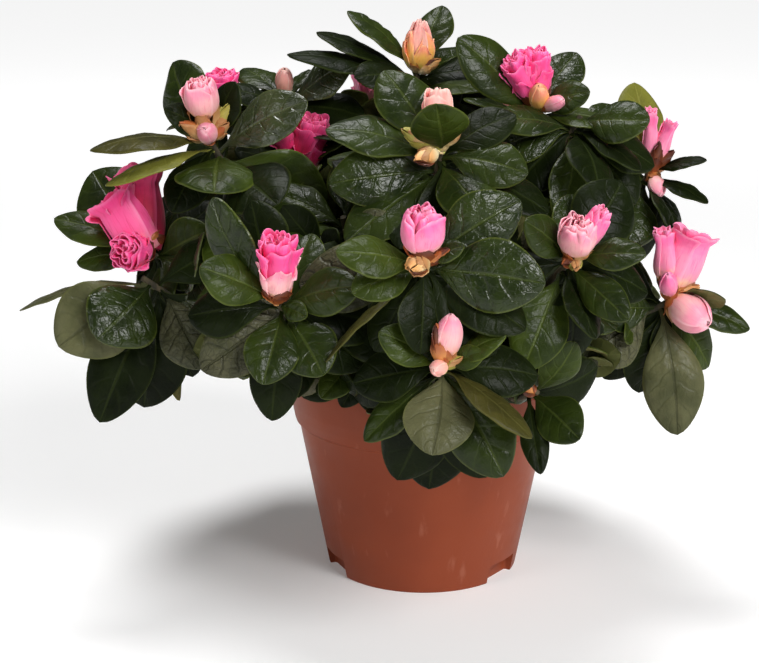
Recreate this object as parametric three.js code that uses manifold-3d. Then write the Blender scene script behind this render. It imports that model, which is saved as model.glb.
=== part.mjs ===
// Azalea shrub in a round nursery pot. Millimetres, +Z up, front along -Y.
// The origin is the middle of the pot's flat underside.
import * as THREE from 'three';
import { mergeVertices } from 'three/addons/utils/BufferGeometryUtils.js';
import Module from 'manifold-3d';

// Pot
const RIM_RADIUS = 60;
const RIM_HEIGHT = 92;
const RIM_ROUNDING = 0.7;
const FOOT_RADIUS = 43.7;
const WALL_TOP_RADIUS = 57; // outside of the wall, where the collar starts
const COLLAR_BOTTOM = 69.5;
const COLLAR_FULL = 79;
const COLLAR_SHOULDER = [[58.6, 70.5], [59.5, 74.5]]; // radius and height
const WALL = 1.8;
const FLOOR = 3;
const FOOT_BAND = { height: 11, wall: 7, ramp: 4 };
const NOTCH_BEARINGS = [-66, 54, 174];
const NOTCH = { width: 20, depth: 6, height: 9 };
const POT_SEGMENTS = 28;
const POT_CLEARANCE = 1;

// Soil, with a low crown round the trunk
const SOIL_EDGE = 82;
const SOIL_TOP = 84;
const SOIL_CROWN_RADIUS = 17;
const SOIL_SEGMENTS = 18;

// Clear space between pieces that touch on the real plant
const GAP = 0.3;

// Slivers that fusing leaves are smoothed away within this distance
const MERGE_WITHIN = 0.05;

// Trunk and boughs
const TRUNK_FOOT = [-2, -1];
const TRUNK_TOP = [3, 4, 130];
const TRUNK_RADIUS = { foot: 8.5, stem: 6, top: 4.6 };
const TRUNK_FLARE = 7; // how fast the flare at the soil dies away up the trunk
const TRUNK_SIDES = 8;
const TRUNK_STEPS = 5;
const BOUGH_RADIUS = { start: 2.9, end: 2 };
const BOUGH_SIDES = 6;
const BOUGH_STEPS = 3;
const STEM_STEPS = 2;
const BOUGH_REACH = 0.5;
const HUB_REACH = 0.68;
const BOUGH_LIFT = 9;
const TIER_HEIGHTS = { low: 98, middle: 109, high: 120 };
const LIMB_CLEARANCE = 0.5;

// Crown: a dome about this centre, as far as its shoots' nodes
const CROWN_CENTRE = [-14, 2, 112];
const CROWN_RADII = [114, 112, 98];
const UPWARD_PULL = 0.45; // how far a shoot turns up from straight out of the dome
const SEED = 20417;
const FILL_SHOOTS = 150;
const FILL_HIGHEST = 0.98;
const FILL_LOWEST = -0.24;
const FILL_SPACING = 40;
const FILL_INSET = 0.8;
const FILL_FRONT = 0.2;
const BUD_SHARE = 0.55;
const FILL_BUD = { length: 25, radius: 6, smallest: 0.8, largest: 1.2 };

// Leaf proportions, as shares of its length unless they are said to be mm
const LEAF_WIDTH = 0.5;
const LEAF_ARCH = 0.08;
const LEAF_EDGE = [[0.36, 0.72], [0.78, 0.88]]; // how far along, and share of half the width
const LEAF_EDGE_DROP = 0.1; // of half the width
const LEAF_THICKEST = 0.32;
const LEAF_THICKNESS = 1.6; // mm
const LEAF_SUNK = 0.5; // mm, from the shoot's middle line back to the root
const LEAF_STEP = 1.7; // mm up the shoot from one leaf to the next
const SHORTENED = [1, 0.8, 0.62, 0.48];

// Leaves placed by rule, in degrees and mm: seven young ones and three old ones on a shoot
const YOUNG_WHORL = { count: 7, tilt: 72, sag: 0.12, length: 46 };
const OLD_WHORL = { count: 3, tilt: 92, sag: 0.2, length: 48 };
const JITTER = { turn: 14, tilt: 12, roll: 16, shortest: 0.85, longest: 1.12 };
const FRONT_ROLL = 12;

// Twigs, and the least distance from a mass's own space to the next one's
const TWIG_RADIUS = { hub: 1.8, shoot: 2.4 };
const TWIG_TIP = 3;
const TWIG_SAG = 3.5;
const TWIG_BEND = 0.6;
const TWIG_ROOT = 0.86; // how far up the mass's stem the twigs start
const CELL_CLEARANCE = 0.25;

// Bearings are read clockwise from straight up, as one looks at the front of the plant from
// 15 degrees above it. Lean is the turn towards the eye. Angles are degrees, lengths mm.
const VIEW_PITCH = 15;

// The shoots that show at the front. Each leaf is [bearing, lean, length], and each bud
// [kind, bearing, lean, length, radius], all from the shoot's node.
const FRONT_SHOOTS = [
  {
    node: [-3, 18, 226],
    buds: [['bud', 5, 30, 26, 7]],
    leaves: [
      [18, -20, 36], [-48, 5, 40], [-70, 5, 50], [-86, 12, 58],
      [98, 60, 40], [55, -40, 36], [122, 30, 42],
    ],
  },
  {
    node: [-63, 22, 213],
    buds: [['bud', 5, 30, 16, 4]],
    leaves: [[-50, -38, 34], [70, 40, 38], [-108, 48, 30], [28, -40, 30], [150, 30, 34]],
  },
  {
    node: [-91, 35, 208],
    buds: [['ruffle', -5, 30, 18, 6]],
    leaves: [[30, -54, 30], [-30, -35, 34], [140, 62, 30], [-100, -30, 36]],
  },
  {
    node: [-93, -22, 201],
    buds: [
      ['ruffle', -12, 38, 32, 7], ['scale', -72, 35, 14, 4],
      ['scale', 35, 35, 13, 3.5], ['bud', -35, 70, 10, 4],
    ],
    leaves: [
      [-25, -22, 42], [-58, 38, 26], [-99, 22, 54], [-122, 30, 54],
      [148, 46, 42], [74, 24, 46], [122, 12, 54],
    ],
  },
  {
    node: [-55, 0, 184],
    buds: [['ruffle', 18, 24, 30, 10]],
    leaves: [[-147, 54, 36], [125, 54, 34], [60, 20, 34]],
  },
  {
    node: [5, -62, 202],
    buds: [
      ['ruffle', -4, -4, 27, 6.5], ['scale', -72, 20, 16, 4],
      ['scale', -128, 35, 12, 4], ['scale', 25, 22, 12, 3.5],
    ],
    leaves: [
      [-32, -20, 46], [-75, 4, 48], [-111, 14, 46], [-136, 20, 52], [165, 25, 42],
      [108, 20, 38], [116, 16, 50], [-4, 60, 30], [146, 42, 44],
    ],
  },
  {
    node: [50, -5, 212],
    buds: [
      ['ruffle', -30, 26, 30, 6.5], ['ruffle', -4, 22, 28, 6.5],
      ['bud', -12, 55, 15, 4], ['bud', 62, 30, 11, 3.5],
    ],
    leaves: [
      [-51, 18, 46], [-74, 18, 34], [34, -20, 34], [73, 40, 28],
      [-14, -26, 34], [-117, 26, 44], [-135, 42, 30],
    ],
  },
  {
    node: [65, -20, 208],
    buds: [],
    leaves: [[95, 48, 40], [56, -26, 40], [-174, 24, 44], [126, 24, 36], [165, 48, 44]],
  },
  {
    node: [102, 8, 182],
    buds: [['ruffle', -4, 20, 31, 4.5], ['ruffle', 18, 22, 27, 5], ['bud', 172, 40, 11, 4]],
    leaves: [[80, 42, 28], [118, 32, 32], [154, 30, 36], [-80, 34, 30], [-167, 28, 34], [40, -35, 32]],
  },
  {
    node: [107, -28, 131],
    buds: [
      ['ruffle', -5, 20, 35, 6], ['bloom', 26, 22, 38, 10], ['bud', 112, 35, 24, 8],
      ['bud', -22, 55, 13, 4], ['scale', 70, 35, 15, 4],
    ],
    leaves: [
      [111, 30, 46], [149, -20, 36], [178, 4, 58], [-130, 15, 46],
      [-150, -22, 44], [90, 40, 27], [-87, 30, 30],
    ],
  },
  {
    node: [57, -92, 164],
    buds: [['bud', -8, 38, 26, 7], ['ruffle', 28, 34, 25, 5.5], ['scale', -155, 55, 11, 4]],
    leaves: [
      [76, 45, 34], [140, 30, 38], [159, 28, 34], [16, -20, 30],
      [-54, 42, 28], [-158, 18, 38], [34, -16, 40],
    ],
  },
  {
    node: [-3, -118, 168],
    buds: [['bud', -5, 36, 26, 8.5], ['scale', -125, 55, 11, 4.5]],
    leaves: [
      [-82, 22, 38], [-118, 45, 34], [98, 17, 48], [70, 30, 18],
      [57, 2, 44], [-132, 5, 50], [120, 14, 46],
    ],
  },
  {
    node: [-60, -108, 150],
    buds: [['ruffle', 3, 33, 32, 7.5]],
    leaves: [
      [-66, 24, 34], [-167, 28, 34], [148, 32, 34], [73, 28, 34], [114, 42, 16],
      [-36, 8, 46], [-134, 4, 42], [174, 2, 46], [15, -26, 38],
    ],
  },
  {
    node: [5, -125, 129],
    buds: [['bud', 4, 29, 24, 5.2], ['bud', -115, 55, 10, 4]],
    leaves: [
      [-64, 20, 30], [60, 22, 28], [73, 34, 18], [-130, 4, 40], [-168, 30, 38],
      [148, 22, 50], [129, 18, 46], [-159, -18, 48], [-176, -22, 50], [156, -10, 46],
    ],
  },
  {
    node: [42, -92, 108],
    buds: [['scale', -50, 35, 9, 3]],
    leaves: [[37, 32, 30], [135, 40, 32], [177, 30, 36], [-20, -46, 30], [96, -36, 30]],
  },
  {
    node: [-121, -22, 152],
    buds: [['bloom', -29, 36, 44, 15], ['ruffle', -98, 62, 18, 8.5], ['ruffle', 6, 4, 40, 11]],
    leaves: [[-71, 12, 46], [-94, -14, 34], [-41, -8, 46], [64, 20, 28], [170, 40, 32]],
  },
  {
    node: [-118, -48, 144],
    buds: [],
    leaves: [
      [-140, 18, 48], [-166, 38, 38], [129, 2, 44], [107, 17, 40],
      [-164, 6, 62], [-178, -14, 54], [-99, -18, 62], [172, -22, 54],
    ],
  },
];

// Foliage masses: each keeps to the points that are nearer its own middle than any other's
const MASSES = {
  crown_top: { middle: [-5, 22, 215], tier: 'top' },
  upper_left: { middle: [-80, 8, 192], tier: 'high' },
  upper_right: { middle: [68, -4, 192], tier: 'high' },
  upper_front: { middle: [4, -60, 196], tier: 'high' },
  front: { middle: [2, -112, 146], tier: 'low' },
  front_left: { middle: [-62, -92, 138], tier: 'middle' },
  front_right: { middle: [52, -86, 136], tier: 'middle' },
  left: { middle: [-118, -30, 140], tier: 'low' },
  right: { middle: [102, -18, 132], tier: 'low' },
  back_left: { middle: [-82, 78, 140], tier: 'middle' },
  back: { middle: [-8, 104, 148], tier: 'low' },
  back_right: { middle: [68, 74, 140], tier: 'middle' },
};

const COLOURS = {
  terracotta: new THREE.MeshStandardMaterial({ color: 0x8a4630, roughness: 0.55, metalness: 0 }),
  peat: new THREE.MeshStandardMaterial({ color: 0x241812, roughness: 1, metalness: 0 }),
  bark: new THREE.MeshStandardMaterial({ color: 0x5b4434, roughness: 0.9, metalness: 0 }),
  foliage: new THREE.MeshStandardMaterial({ color: 0x2c4020, roughness: 0.5, metalness: 0 }),
};

const wasm = await Module();
wasm.setup();

const UP = new THREE.Vector3(0, 0, 1);
const radians = THREE.MathUtils.degToRad;
const vector = (values) => new THREE.Vector3(...values);
const crownCentre = vector(CROWN_CENTRE);
const trunkTop = vector(TRUNK_TOP);

// One stream of seeded numbers from 0 to 1, used in the order that the plant grows
let seedState = SEED;
function draw(low = 0, high = 1) {
  seedState = (seedState * 1664525 + 1013904223) % 4294967296;
  return low + (high - low) * (seedState / 4294967296);
}

// Closed three.js geometry to a solid and back
function solid(geometry) {
  const bare = geometry.clone();
  bare.deleteAttribute('normal');
  bare.deleteAttribute('uv');
  const merged = mergeVertices(bare, 1e-4);
  return new wasm.Manifold(new wasm.Mesh({
    numProp: 3,
    vertProperties: Float32Array.from(merged.attributes.position.array),
    triVerts: Uint32Array.from(merged.index.array),
  }));
}

function geometryOf(body) {
  const mesh = body.getMesh();
  const geometry = new THREE.BufferGeometry();
  geometry.setAttribute('position', new THREE.BufferAttribute(mesh.vertProperties, 3));
  geometry.setIndex(new THREE.BufferAttribute(mesh.triVerts, 1));
  geometry.computeVertexNormals();
  return geometry;
}

// All of the pieces fused, without loose scraps or hollows that the fusing sealed
function fuse(pieces) {
  let row = pieces;
  while (row.length > 1) {
    const next = [];
    for (let i = 0; i < row.length; i += 2) {
      next.push(i + 1 < row.length ? row[i].add(row[i + 1]) : row[i]);
    }
    row = next;
  }
  const bodies = row[0].decompose();
  const largest = bodies.reduce((best, body) => (body.volume() > best.volume() ? body : best));
  return largest.simplify(MERGE_WITHIN);
}

function lathe(profile, segments) {
  const points = profile.map(([radius, height]) => new THREE.Vector2(radius, height));
  return new THREE.LatheGeometry(points, segments).rotateX(Math.PI / 2);
}

// A straight-sided or bent limb: a cylinder whose rings are carried onto a curve, then tapered
function limb(curve, startRadius, endRadius, sides, steps) {
  const tube = new THREE.CylinderGeometry(1, 1, 1, sides, steps);
  const place = tube.attributes.position;
  const corner = new THREE.Vector3();
  for (let i = 0; i < place.count; i += 1) {
    corner.fromBufferAttribute(place, i);
    const along = THREE.MathUtils.clamp(corner.y + 0.5, 0, 1);
    const ring = Math.round(along * steps) / steps;
    const radius = THREE.MathUtils.lerp(startRadius, endRadius, ring);
    const heading = curve.getTangent(ring);
    const side = new THREE.Vector3().crossVectors(sideways(heading), heading).normalize();
    const top = new THREE.Vector3().crossVectors(side, heading).normalize();
    const spot = curve.getPoint(ring)
      .addScaledVector(side, corner.x * radius)
      .addScaledVector(top, corner.z * radius);
    place.setXYZ(i, spot.x, spot.y, spot.z);
  }
  return tube;
}

// A fixed direction that is well off the heading, so that a limb's rings don't twist
function sideways(heading) {
  return Math.abs(heading.z) > 0.9 ? new THREE.Vector3(1, 0, 0) : UP;
}

function viewDirection(bearing, lean) {
  const pitch = radians(VIEW_PITCH);
  const upward = new THREE.Vector3(0, Math.sin(pitch), Math.cos(pitch));
  const away = new THREE.Vector3(0, Math.cos(pitch), -Math.sin(pitch));
  const across = Math.cos(radians(lean));
  return new THREE.Vector3(Math.sin(radians(bearing)) * across, 0, 0)
    .addScaledVector(upward, Math.cos(radians(bearing)) * across)
    .addScaledVector(away, -Math.sin(radians(lean)));
}

// The way a shoot grows: out of the dome, and a little upwards
function shootAxis(node) {
  return node.clone().sub(crownCentre).normalize().addScaledVector(UP, UPWARD_PULL).normalize();
}

// One leaf: a thin arched blade, widest past its middle, whose root starts inside the shoot
function leafSolid(leaf, share) {
  const length = leaf.length * share;
  const half = (length * LEAF_WIDTH) / 2;
  const arch = (along) => length * LEAF_ARCH * 4 * along * (1 - along);
  const edge = ([along, width]) => [along, width * half, arch(along) - LEAF_EDGE_DROP * half];
  const right = LEAF_EDGE.map(edge);
  const left = LEAF_EDGE.map(([along, width]) => edge([along, -width])).reverse();
  const rim = [[-LEAF_SUNK / length, 0, 0], ...right, [1, 0, 0], ...left];
  const top = [LEAF_THICKEST, 0, arch(LEAF_THICKEST) + LEAF_THICKNESS / 2];
  const bottom = [LEAF_THICKEST, 0, arch(LEAF_THICKEST) - LEAF_THICKNESS / 2];
  const points = [...rim, top, bottom].map(([along, across, height]) => leaf.root.clone()
    .addScaledVector(leaf.heading, along * length)
    .addScaledVector(leaf.side, across)
    .addScaledVector(leaf.face, height));
  const index = rim.flatMap((_, i) => {
    const next = (i + 1) % rim.length;
    return [i, next, rim.length, next, i, rim.length + 1];
  });
  const geometry = new THREE.BufferGeometry();
  const values = points.flatMap((point) => point.toArray());
  geometry.setAttribute('position', new THREE.Float32BufferAttribute(values, 3));
  geometry.setIndex(index);
  return { body: solid(geometry), points };
}

// Root, heading, face and side of a leaf, its upper face turned to the shoot's axis
function leafFrame(root, heading, axis, length, roll, byRule) {
  const across = axis.clone().addScaledVector(heading, -axis.dot(heading));
  const lengthwise = across.length() < 0.25;
  const face = lengthwise ? UP.clone().addScaledVector(heading, -heading.z) : across;
  face.normalize().applyAxisAngle(heading, radians(roll));
  const side = new THREE.Vector3().crossVectors(heading, face).normalize();
  return { root, heading, face, side, length, byRule };
}

// Leaves round a node by rule: evenly about the axis, each turned, tilted and sized by a draw
function whorl(node, axis, kind) {
  const first = new THREE.Vector3().crossVectors(axis, sideways(axis)).normalize();
  const start = draw(0, 360);
  const leaves = [];
  for (let i = 0; i < kind.count; i += 1) {
    const turn = start + (360 / kind.count) * i + draw(-JITTER.turn, JITTER.turn);
    const tilt = radians(kind.tilt + draw(-JITTER.tilt, JITTER.tilt));
    const outward = first.clone().applyAxisAngle(axis, radians(turn));
    const heading = outward.multiplyScalar(Math.sin(tilt)).addScaledVector(axis, Math.cos(tilt));
    heading.addScaledVector(UP, -kind.sag).normalize();
    const length = kind.length * draw(JITTER.shortest, JITTER.longest);
    const roll = draw(-JITTER.roll, JITTER.roll);
    leaves.push(leafFrame(node.clone(), heading, axis, length, roll, true));
  }
  return leaves;
}

function frontShoot(row) {
  const node = vector(row.node);
  const axis = shootAxis(node);
  const leaves = row.leaves.map(([bearing, lean, length]) => {
    const roll = draw(-FRONT_ROLL, FRONT_ROLL);
    return leafFrame(node.clone(), viewDirection(bearing, lean), axis, length, roll, false);
  });
  const buds = row.buds.map(([kind, bearing, lean, length, radius]) => (
    { kind, heading: viewDirection(bearing, lean), length, radius }
  ));
  return { node, axis, leaves, buds };
}

function fillShoot(node) {
  const axis = shootAxis(node);
  const leaves = whorl(node, axis, YOUNG_WHORL);
  const buds = [];
  const budDraw = draw();
  const size = draw(FILL_BUD.smallest, FILL_BUD.largest);
  if (budDraw < BUD_SHARE) {
    buds.push({
      kind: budDraw < BUD_SHARE / 2 ? 'bud' : 'ruffle',
      heading: axis.clone(),
      length: FILL_BUD.length * size,
      radius: FILL_BUD.radius * size,
    });
  }
  return { node, axis, leaves, buds };
}

// Shoots spread over the dome by the golden angle, where no other shoot stands near
function fillNodes(taken) {
  const nodes = [];
  const golden = Math.PI * (3 - Math.sqrt(5));
  for (let i = 0; i < FILL_SHOOTS; i += 1) {
    const height = THREE.MathUtils.lerp(FILL_HIGHEST, FILL_LOWEST, (i + 0.5) / FILL_SHOOTS);
    const ring = Math.sqrt(1 - height * height);
    const turn = golden * i;
    const inset = Math.sin(turn) < FILL_FRONT ? FILL_INSET : 1;
    const node = new THREE.Vector3(
      Math.cos(turn) * ring * CROWN_RADII[0],
      Math.sin(turn) * ring * CROWN_RADII[1],
      height * CROWN_RADII[2],
    ).multiplyScalar(inset).add(crownCentre);
    const crowded = [...taken, ...nodes].some((other) => other.distanceTo(node) < FILL_SPACING);
    if (!crowded) {
      nodes.push(node);
    }
  }
  return nodes;
}

// Leaves climb the shoot in a spiral: old ones first, then the rest, the most upright last
function spreadRoots(shoot, oldLeaves) {
  const upright = (leaf) => leaf.heading.dot(shoot.axis);
  const young = [...shoot.leaves].sort((a, b) => upright(b) - upright(a));
  [...young, ...oldLeaves].forEach((leaf, place) => {
    leaf.root.addScaledVector(shoot.axis, -LEAF_STEP * place);
  });
  shoot.leaves.push(...oldLeaves);
  const stretch = LEAF_STEP * (shoot.leaves.length + 1);
  shoot.lower = shoot.node.clone().addScaledVector(shoot.axis, -stretch);
}

function growShoots() {
  const shoots = FRONT_SHOOTS.map(frontShoot);
  const nodes = fillNodes(shoots.map((shoot) => shoot.node));
  shoots.push(...nodes.map(fillShoot));
  for (const shoot of shoots) {
    spreadRoots(shoot, whorl(shoot.node, shoot.axis, OLD_WHORL));
  }
  return shoots;
}

// The solid of a bud or flower, from the shoot's node along its heading
const BUD_PROFILES = {
  bud: [[1, 0.45], [0.6, 0.85]],
  scale: [[1, 0.4]],
  ruffle: [[1, 0.5], [0.95, 0.95]],
  bloom: [[0.22, 0.2], [0.5, 0.62], [1, 0.96]],
};
const BUD_TIP = { bud: 1, scale: 1, ruffle: 1, bloom: 0.72 };
const BUD_SIDES = 5;

function budSolid(node, bud) {
  const inner = BUD_PROFILES[bud.kind].map(([radius, height]) => (
    [radius * bud.radius, height * bud.length]
  ));
  const profile = [[0, 0], ...inner, [0, BUD_TIP[bud.kind] * bud.length]];
  const turn = new THREE.Quaternion().setFromUnitVectors(UP, bud.heading);
  const geometry = lathe(profile, BUD_SIDES);
  geometry.applyQuaternion(turn).translate(node.x, node.y, node.z);
  return { body: solid(geometry), points: pointsOf(geometry) };
}

function pointsOf(geometry) {
  const place = geometry.attributes.position;
  const indices = Array.from({ length: place.count }, (_, i) => i);
  return indices.map((i) => new THREE.Vector3().fromBufferAttribute(place, i));
}

// Outside of the pot's wall below its collar
function wallRadius(height) {
  return THREE.MathUtils.lerp(FOOT_RADIUS, WALL_TOP_RADIUS, height / COLLAR_BOTTOM);
}

// Pot: one turned shell with a collar, and three notches in its foot
function potGeometry() {
  const bandRadius = wallRadius(FOOT_BAND.height);
  const shell = solid(lathe([
    [0, 0],
    [FOOT_RADIUS, 0],
    [WALL_TOP_RADIUS, COLLAR_BOTTOM],
    ...COLLAR_SHOULDER,
    [RIM_RADIUS, COLLAR_FULL],
    [RIM_RADIUS, RIM_HEIGHT - RIM_ROUNDING],
    [RIM_RADIUS - RIM_ROUNDING, RIM_HEIGHT],
    [RIM_RADIUS - WALL, RIM_HEIGHT],
    [RIM_RADIUS - WALL, COLLAR_FULL],
    [WALL_TOP_RADIUS - WALL, COLLAR_BOTTOM],
    [bandRadius - WALL, FOOT_BAND.height + FOOT_BAND.ramp],
    [bandRadius - FOOT_BAND.wall, FOOT_BAND.height],
    [FOOT_RADIUS - FOOT_BAND.wall, FLOOR],
    [0, FLOOR],
  ], POT_SEGMENTS));
  return geometryOf(NOTCH_BEARINGS.reduce((pot, bearing) => {
    const notch = new THREE.BoxGeometry(NOTCH.width, NOTCH.depth * 2, NOTCH.height * 2);
    notch.translate(0, -wallRadius(NOTCH.height), 0).rotateZ(radians(bearing));
    return pot.subtract(solid(notch));
  }, shell));
}

// Peat that fills the pot, clear of its wall, with a low crown round the trunk
function soilGeometry() {
  const clear = WALL + 2 * GAP;
  const bandClear = FOOT_BAND.wall + GAP;
  return lathe([
    [0, FLOOR + GAP],
    [FOOT_RADIUS - bandClear, FLOOR + GAP],
    [FOOT_RADIUS - bandClear, FOOT_BAND.height],
    [wallRadius(FOOT_BAND.height) - clear, FOOT_BAND.height + FOOT_BAND.ramp + clear],
    [WALL_TOP_RADIUS - clear, SOIL_EDGE],
    [SOIL_CROWN_RADIUS, SOIL_TOP],
    [0, SOIL_TOP],
  ], SOIL_SEGMENTS);
}

// Trunk: a leaning, tapering stem with a flare at the soil, cut flat there
function trunkGeometry(extra) {
  const foot = vector([...TRUNK_FOOT, SOIL_TOP + GAP - extra]);
  const top = trunkTop.clone().addScaledVector(UP, extra);
  const tube = new THREE.CylinderGeometry(1, 1, 1, TRUNK_SIDES, TRUNK_STEPS);
  const place = tube.attributes.position;
  for (let i = 0; i < place.count; i += 1) {
    const along = THREE.MathUtils.clamp(place.getY(i) + 0.5, 0, 1);
    const flare = Math.exp(-along * TRUNK_FLARE) * (TRUNK_RADIUS.foot - TRUNK_RADIUS.stem);
    const stem = THREE.MathUtils.lerp(TRUNK_RADIUS.stem, TRUNK_RADIUS.top, along);
    const radius = stem + flare + extra;
    const centre = foot.clone().lerp(top, along);
    const [east, south] = [place.getX(i) * radius, place.getZ(i) * radius];
    place.setXYZ(i, centre.x + east, centre.y - south, centre.z);
  }
  return tube;
}

function trunkPoint(height) {
  const share = (height - SOIL_TOP) / (trunkTop.z - SOIL_TOP);
  return vector([...TRUNK_FOOT, SOIL_TOP]).lerp(trunkTop, share);
}

// Where a mass's bough starts, ends, and where its stem forks into twigs
function boughPath(mass) {
  const middle = vector(mass.middle);
  const atTop = mass.tier === 'top';
  const crotch = atTop ? trunkTop.z : TIER_HEIGHTS[mass.tier];
  const start = trunkPoint(crotch).addScaledVector(UP, atTop ? GAP : 0);
  const end = start.clone().lerp(middle, BOUGH_REACH);
  const hub = start.clone().lerp(middle, HUB_REACH);
  const bend = start.clone().lerp(end, 0.5).addScaledVector(UP, atTop ? 0 : BOUGH_LIFT);
  return { curve: new THREE.QuadraticBezierCurve3(start, bend, end), end, hub };
}

function boughSolid(path, extra) {
  const { start, end } = BOUGH_RADIUS;
  return solid(limb(path.curve, start + extra, end + extra, BOUGH_SIDES, BOUGH_STEPS));
}

// Pot and soil as one plain block with clearance, which foliage stays out of
function potGuard() {
  return solid(lathe([
    [0, -POT_CLEARANCE],
    [FOOT_RADIUS + POT_CLEARANCE, -POT_CLEARANCE],
    [RIM_RADIUS + POT_CLEARANCE, COLLAR_BOTTOM],
    [RIM_RADIUS + POT_CLEARANCE, RIM_HEIGHT + POT_CLEARANCE],
    [0, RIM_HEIGHT + POT_CLEARANCE],
  ], POT_SEGMENTS));
}

function nearestMass(point) {
  const names = Object.keys(MASSES);
  const distance = (name) => vector(MASSES[name].middle).distanceTo(point);
  return names.reduce((best, name) => (distance(name) < distance(best) ? name : best), names[0]);
}

// Whether all of the points keep clear of the planes half-way to the other masses
function insideCell(name, points) {
  const own = vector(MASSES[name].middle);
  return Object.keys(MASSES).every((other) => {
    if (other === name) {
      return true;
    }
    const away = vector(MASSES[other].middle).sub(own);
    const limit = away.length() / 2 - CELL_CLEARANCE;
    away.normalize();
    return points.every((point) => point.clone().sub(own).dot(away) < limit);
  });
}

function touchesAny(body, guards) {
  return guards.some((guard) => !guard.intersect(body).isEmpty());
}

// A shoot's twig, from inside the mass's stem to just past the shoot's node
function twigSolid(shoot, stem) {
  const bend = stem.v2.clone().lerp(shoot.lower, TWIG_BEND).addScaledVector(UP, -TWIG_SAG);
  const tip = shoot.node.clone().addScaledVector(shoot.axis, TWIG_TIP);
  const root = stem.getPoint(TWIG_ROOT);
  const curve = new THREE.CatmullRomCurve3([root, bend, shoot.lower, tip]);
  const tube = limb(curve, TWIG_RADIUS.hub, TWIG_RADIUS.shoot, 3, 3);
  return { body: solid(tube), points: pointsOf(tube) };
}

// One mass: a stem from the bough's tip, a twig to each shoot, then its leaves and buds.
// A leaf placed by rule also keeps off the mass's other shoots.
function massSolid(name, shoots, path, guards) {
  const heading = path.curve.getTangent(1);
  const stemStart = path.end.clone().addScaledVector(heading, GAP);
  const stemBend = stemStart.clone().addScaledVector(heading, stemStart.distanceTo(path.hub) / 2);
  const stem = new THREE.QuadraticBezierCurve3(stemStart, stemBend, path.hub);
  const fits = (piece) => insideCell(name, piece.points) && !touchesAny(piece.body, guards);
  const grown = [];
  for (const shoot of shoots) {
    const twig = twigSolid(shoot, stem);
    if (fits(twig)) {
      grown.push({ shoot, bodies: [twig.body] });
    }
  }
  for (const { shoot, bodies } of grown) {
    const buds = shoot.buds.map((bud) => budSolid(shoot.node, bud)).filter(fits);
    bodies.push(...buds.map((bud) => bud.body));
  }
  for (const byRule of [false, true]) {
    for (const { shoot, bodies } of grown) {
      const keptOff = grown.filter((row) => byRule && row.shoot !== shoot);
      const others = keptOff.flatMap((row) => row.bodies);
      for (const leaf of shoot.leaves.filter((one) => one.byRule === byRule)) {
        const blade = SHORTENED.map((share) => leafSolid(leaf, share))
          .find((piece) => fits(piece) && !touchesAny(piece.body, others));
        if (blade) {
          bodies.push(blade.body);
        }
      }
    }
  }
  const base = solid(limb(stem, BOUGH_RADIUS.end, TWIG_RADIUS.hub, BOUGH_SIDES, STEM_STEPS));
  return fuse([base, ...grown.flatMap((row) => row.bodies)]);
}

function named(name, geometry, material) {
  const mesh = new THREE.Mesh(geometry, material);
  mesh.name = name;
  return mesh;
}

function buildPlant() {
  const plant = new THREE.Group();
  plant.add(named('pot', potGeometry(), COLOURS.terracotta));
  plant.add(named('soil', soilGeometry(), COLOURS.peat));
  plant.add(named('trunk', trunkGeometry(0), COLOURS.bark));
  const trunkGuard = solid(trunkGeometry(GAP));
  const shoots = growShoots();
  const paths = {};
  const guards = [potGuard(), solid(trunkGeometry(LIMB_CLEARANCE))];
  for (const [name, mass] of Object.entries(MASSES)) {
    paths[name] = boughPath(mass);
    guards.push(boughSolid(paths[name], LIMB_CLEARANCE));
    const bough = boughSolid(paths[name], 0).subtract(trunkGuard);
    plant.add(named(`bough_${name}`, geometryOf(bough), COLOURS.bark));
  }
  const homeOf = (shoot) => nearestMass(shoot.node.clone().lerp(shoot.lower, 0.5));
  for (const name of Object.keys(MASSES)) {
    const own = shoots.filter((shoot) => homeOf(shoot) === name);
    const body = massSolid(name, own, paths[name], guards);
    plant.add(named(`leaves_${name}`, geometryOf(body), COLOURS.foliage));
  }
  return plant;
}

export default buildPlant();
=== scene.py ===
"""Azalea shrub in a round nursery pot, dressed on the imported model.

The plant grows here by the same rule as in the model, in millimetres and with +Z up. Lengths
turn into metres when a mesh is made.
"""
import math
import random
from functools import lru_cache

import bpy
import numpy as np
from mathutils import Matrix, Quaternion, Vector, noise


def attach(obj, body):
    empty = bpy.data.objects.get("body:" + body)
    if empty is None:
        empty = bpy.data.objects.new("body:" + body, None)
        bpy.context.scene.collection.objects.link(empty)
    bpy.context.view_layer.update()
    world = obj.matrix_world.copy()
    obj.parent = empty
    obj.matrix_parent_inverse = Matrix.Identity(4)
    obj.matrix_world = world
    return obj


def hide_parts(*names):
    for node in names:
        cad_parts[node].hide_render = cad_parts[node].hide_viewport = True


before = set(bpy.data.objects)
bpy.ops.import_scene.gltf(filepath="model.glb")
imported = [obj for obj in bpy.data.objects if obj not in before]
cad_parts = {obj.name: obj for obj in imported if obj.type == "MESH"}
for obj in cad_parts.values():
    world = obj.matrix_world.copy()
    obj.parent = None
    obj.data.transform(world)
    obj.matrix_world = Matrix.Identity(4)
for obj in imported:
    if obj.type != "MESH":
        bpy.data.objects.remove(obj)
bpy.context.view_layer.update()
MM = 0.001

# Camera, as fitted to the photograph: lens and sensor in mm, place in metres
CAMERA_PLACE = (-0.02, -0.75, 0.305)
CAMERA_PITCH = 14.6
CAMERA_LENS = 80.6
SENSOR_WIDTH = 36

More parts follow.
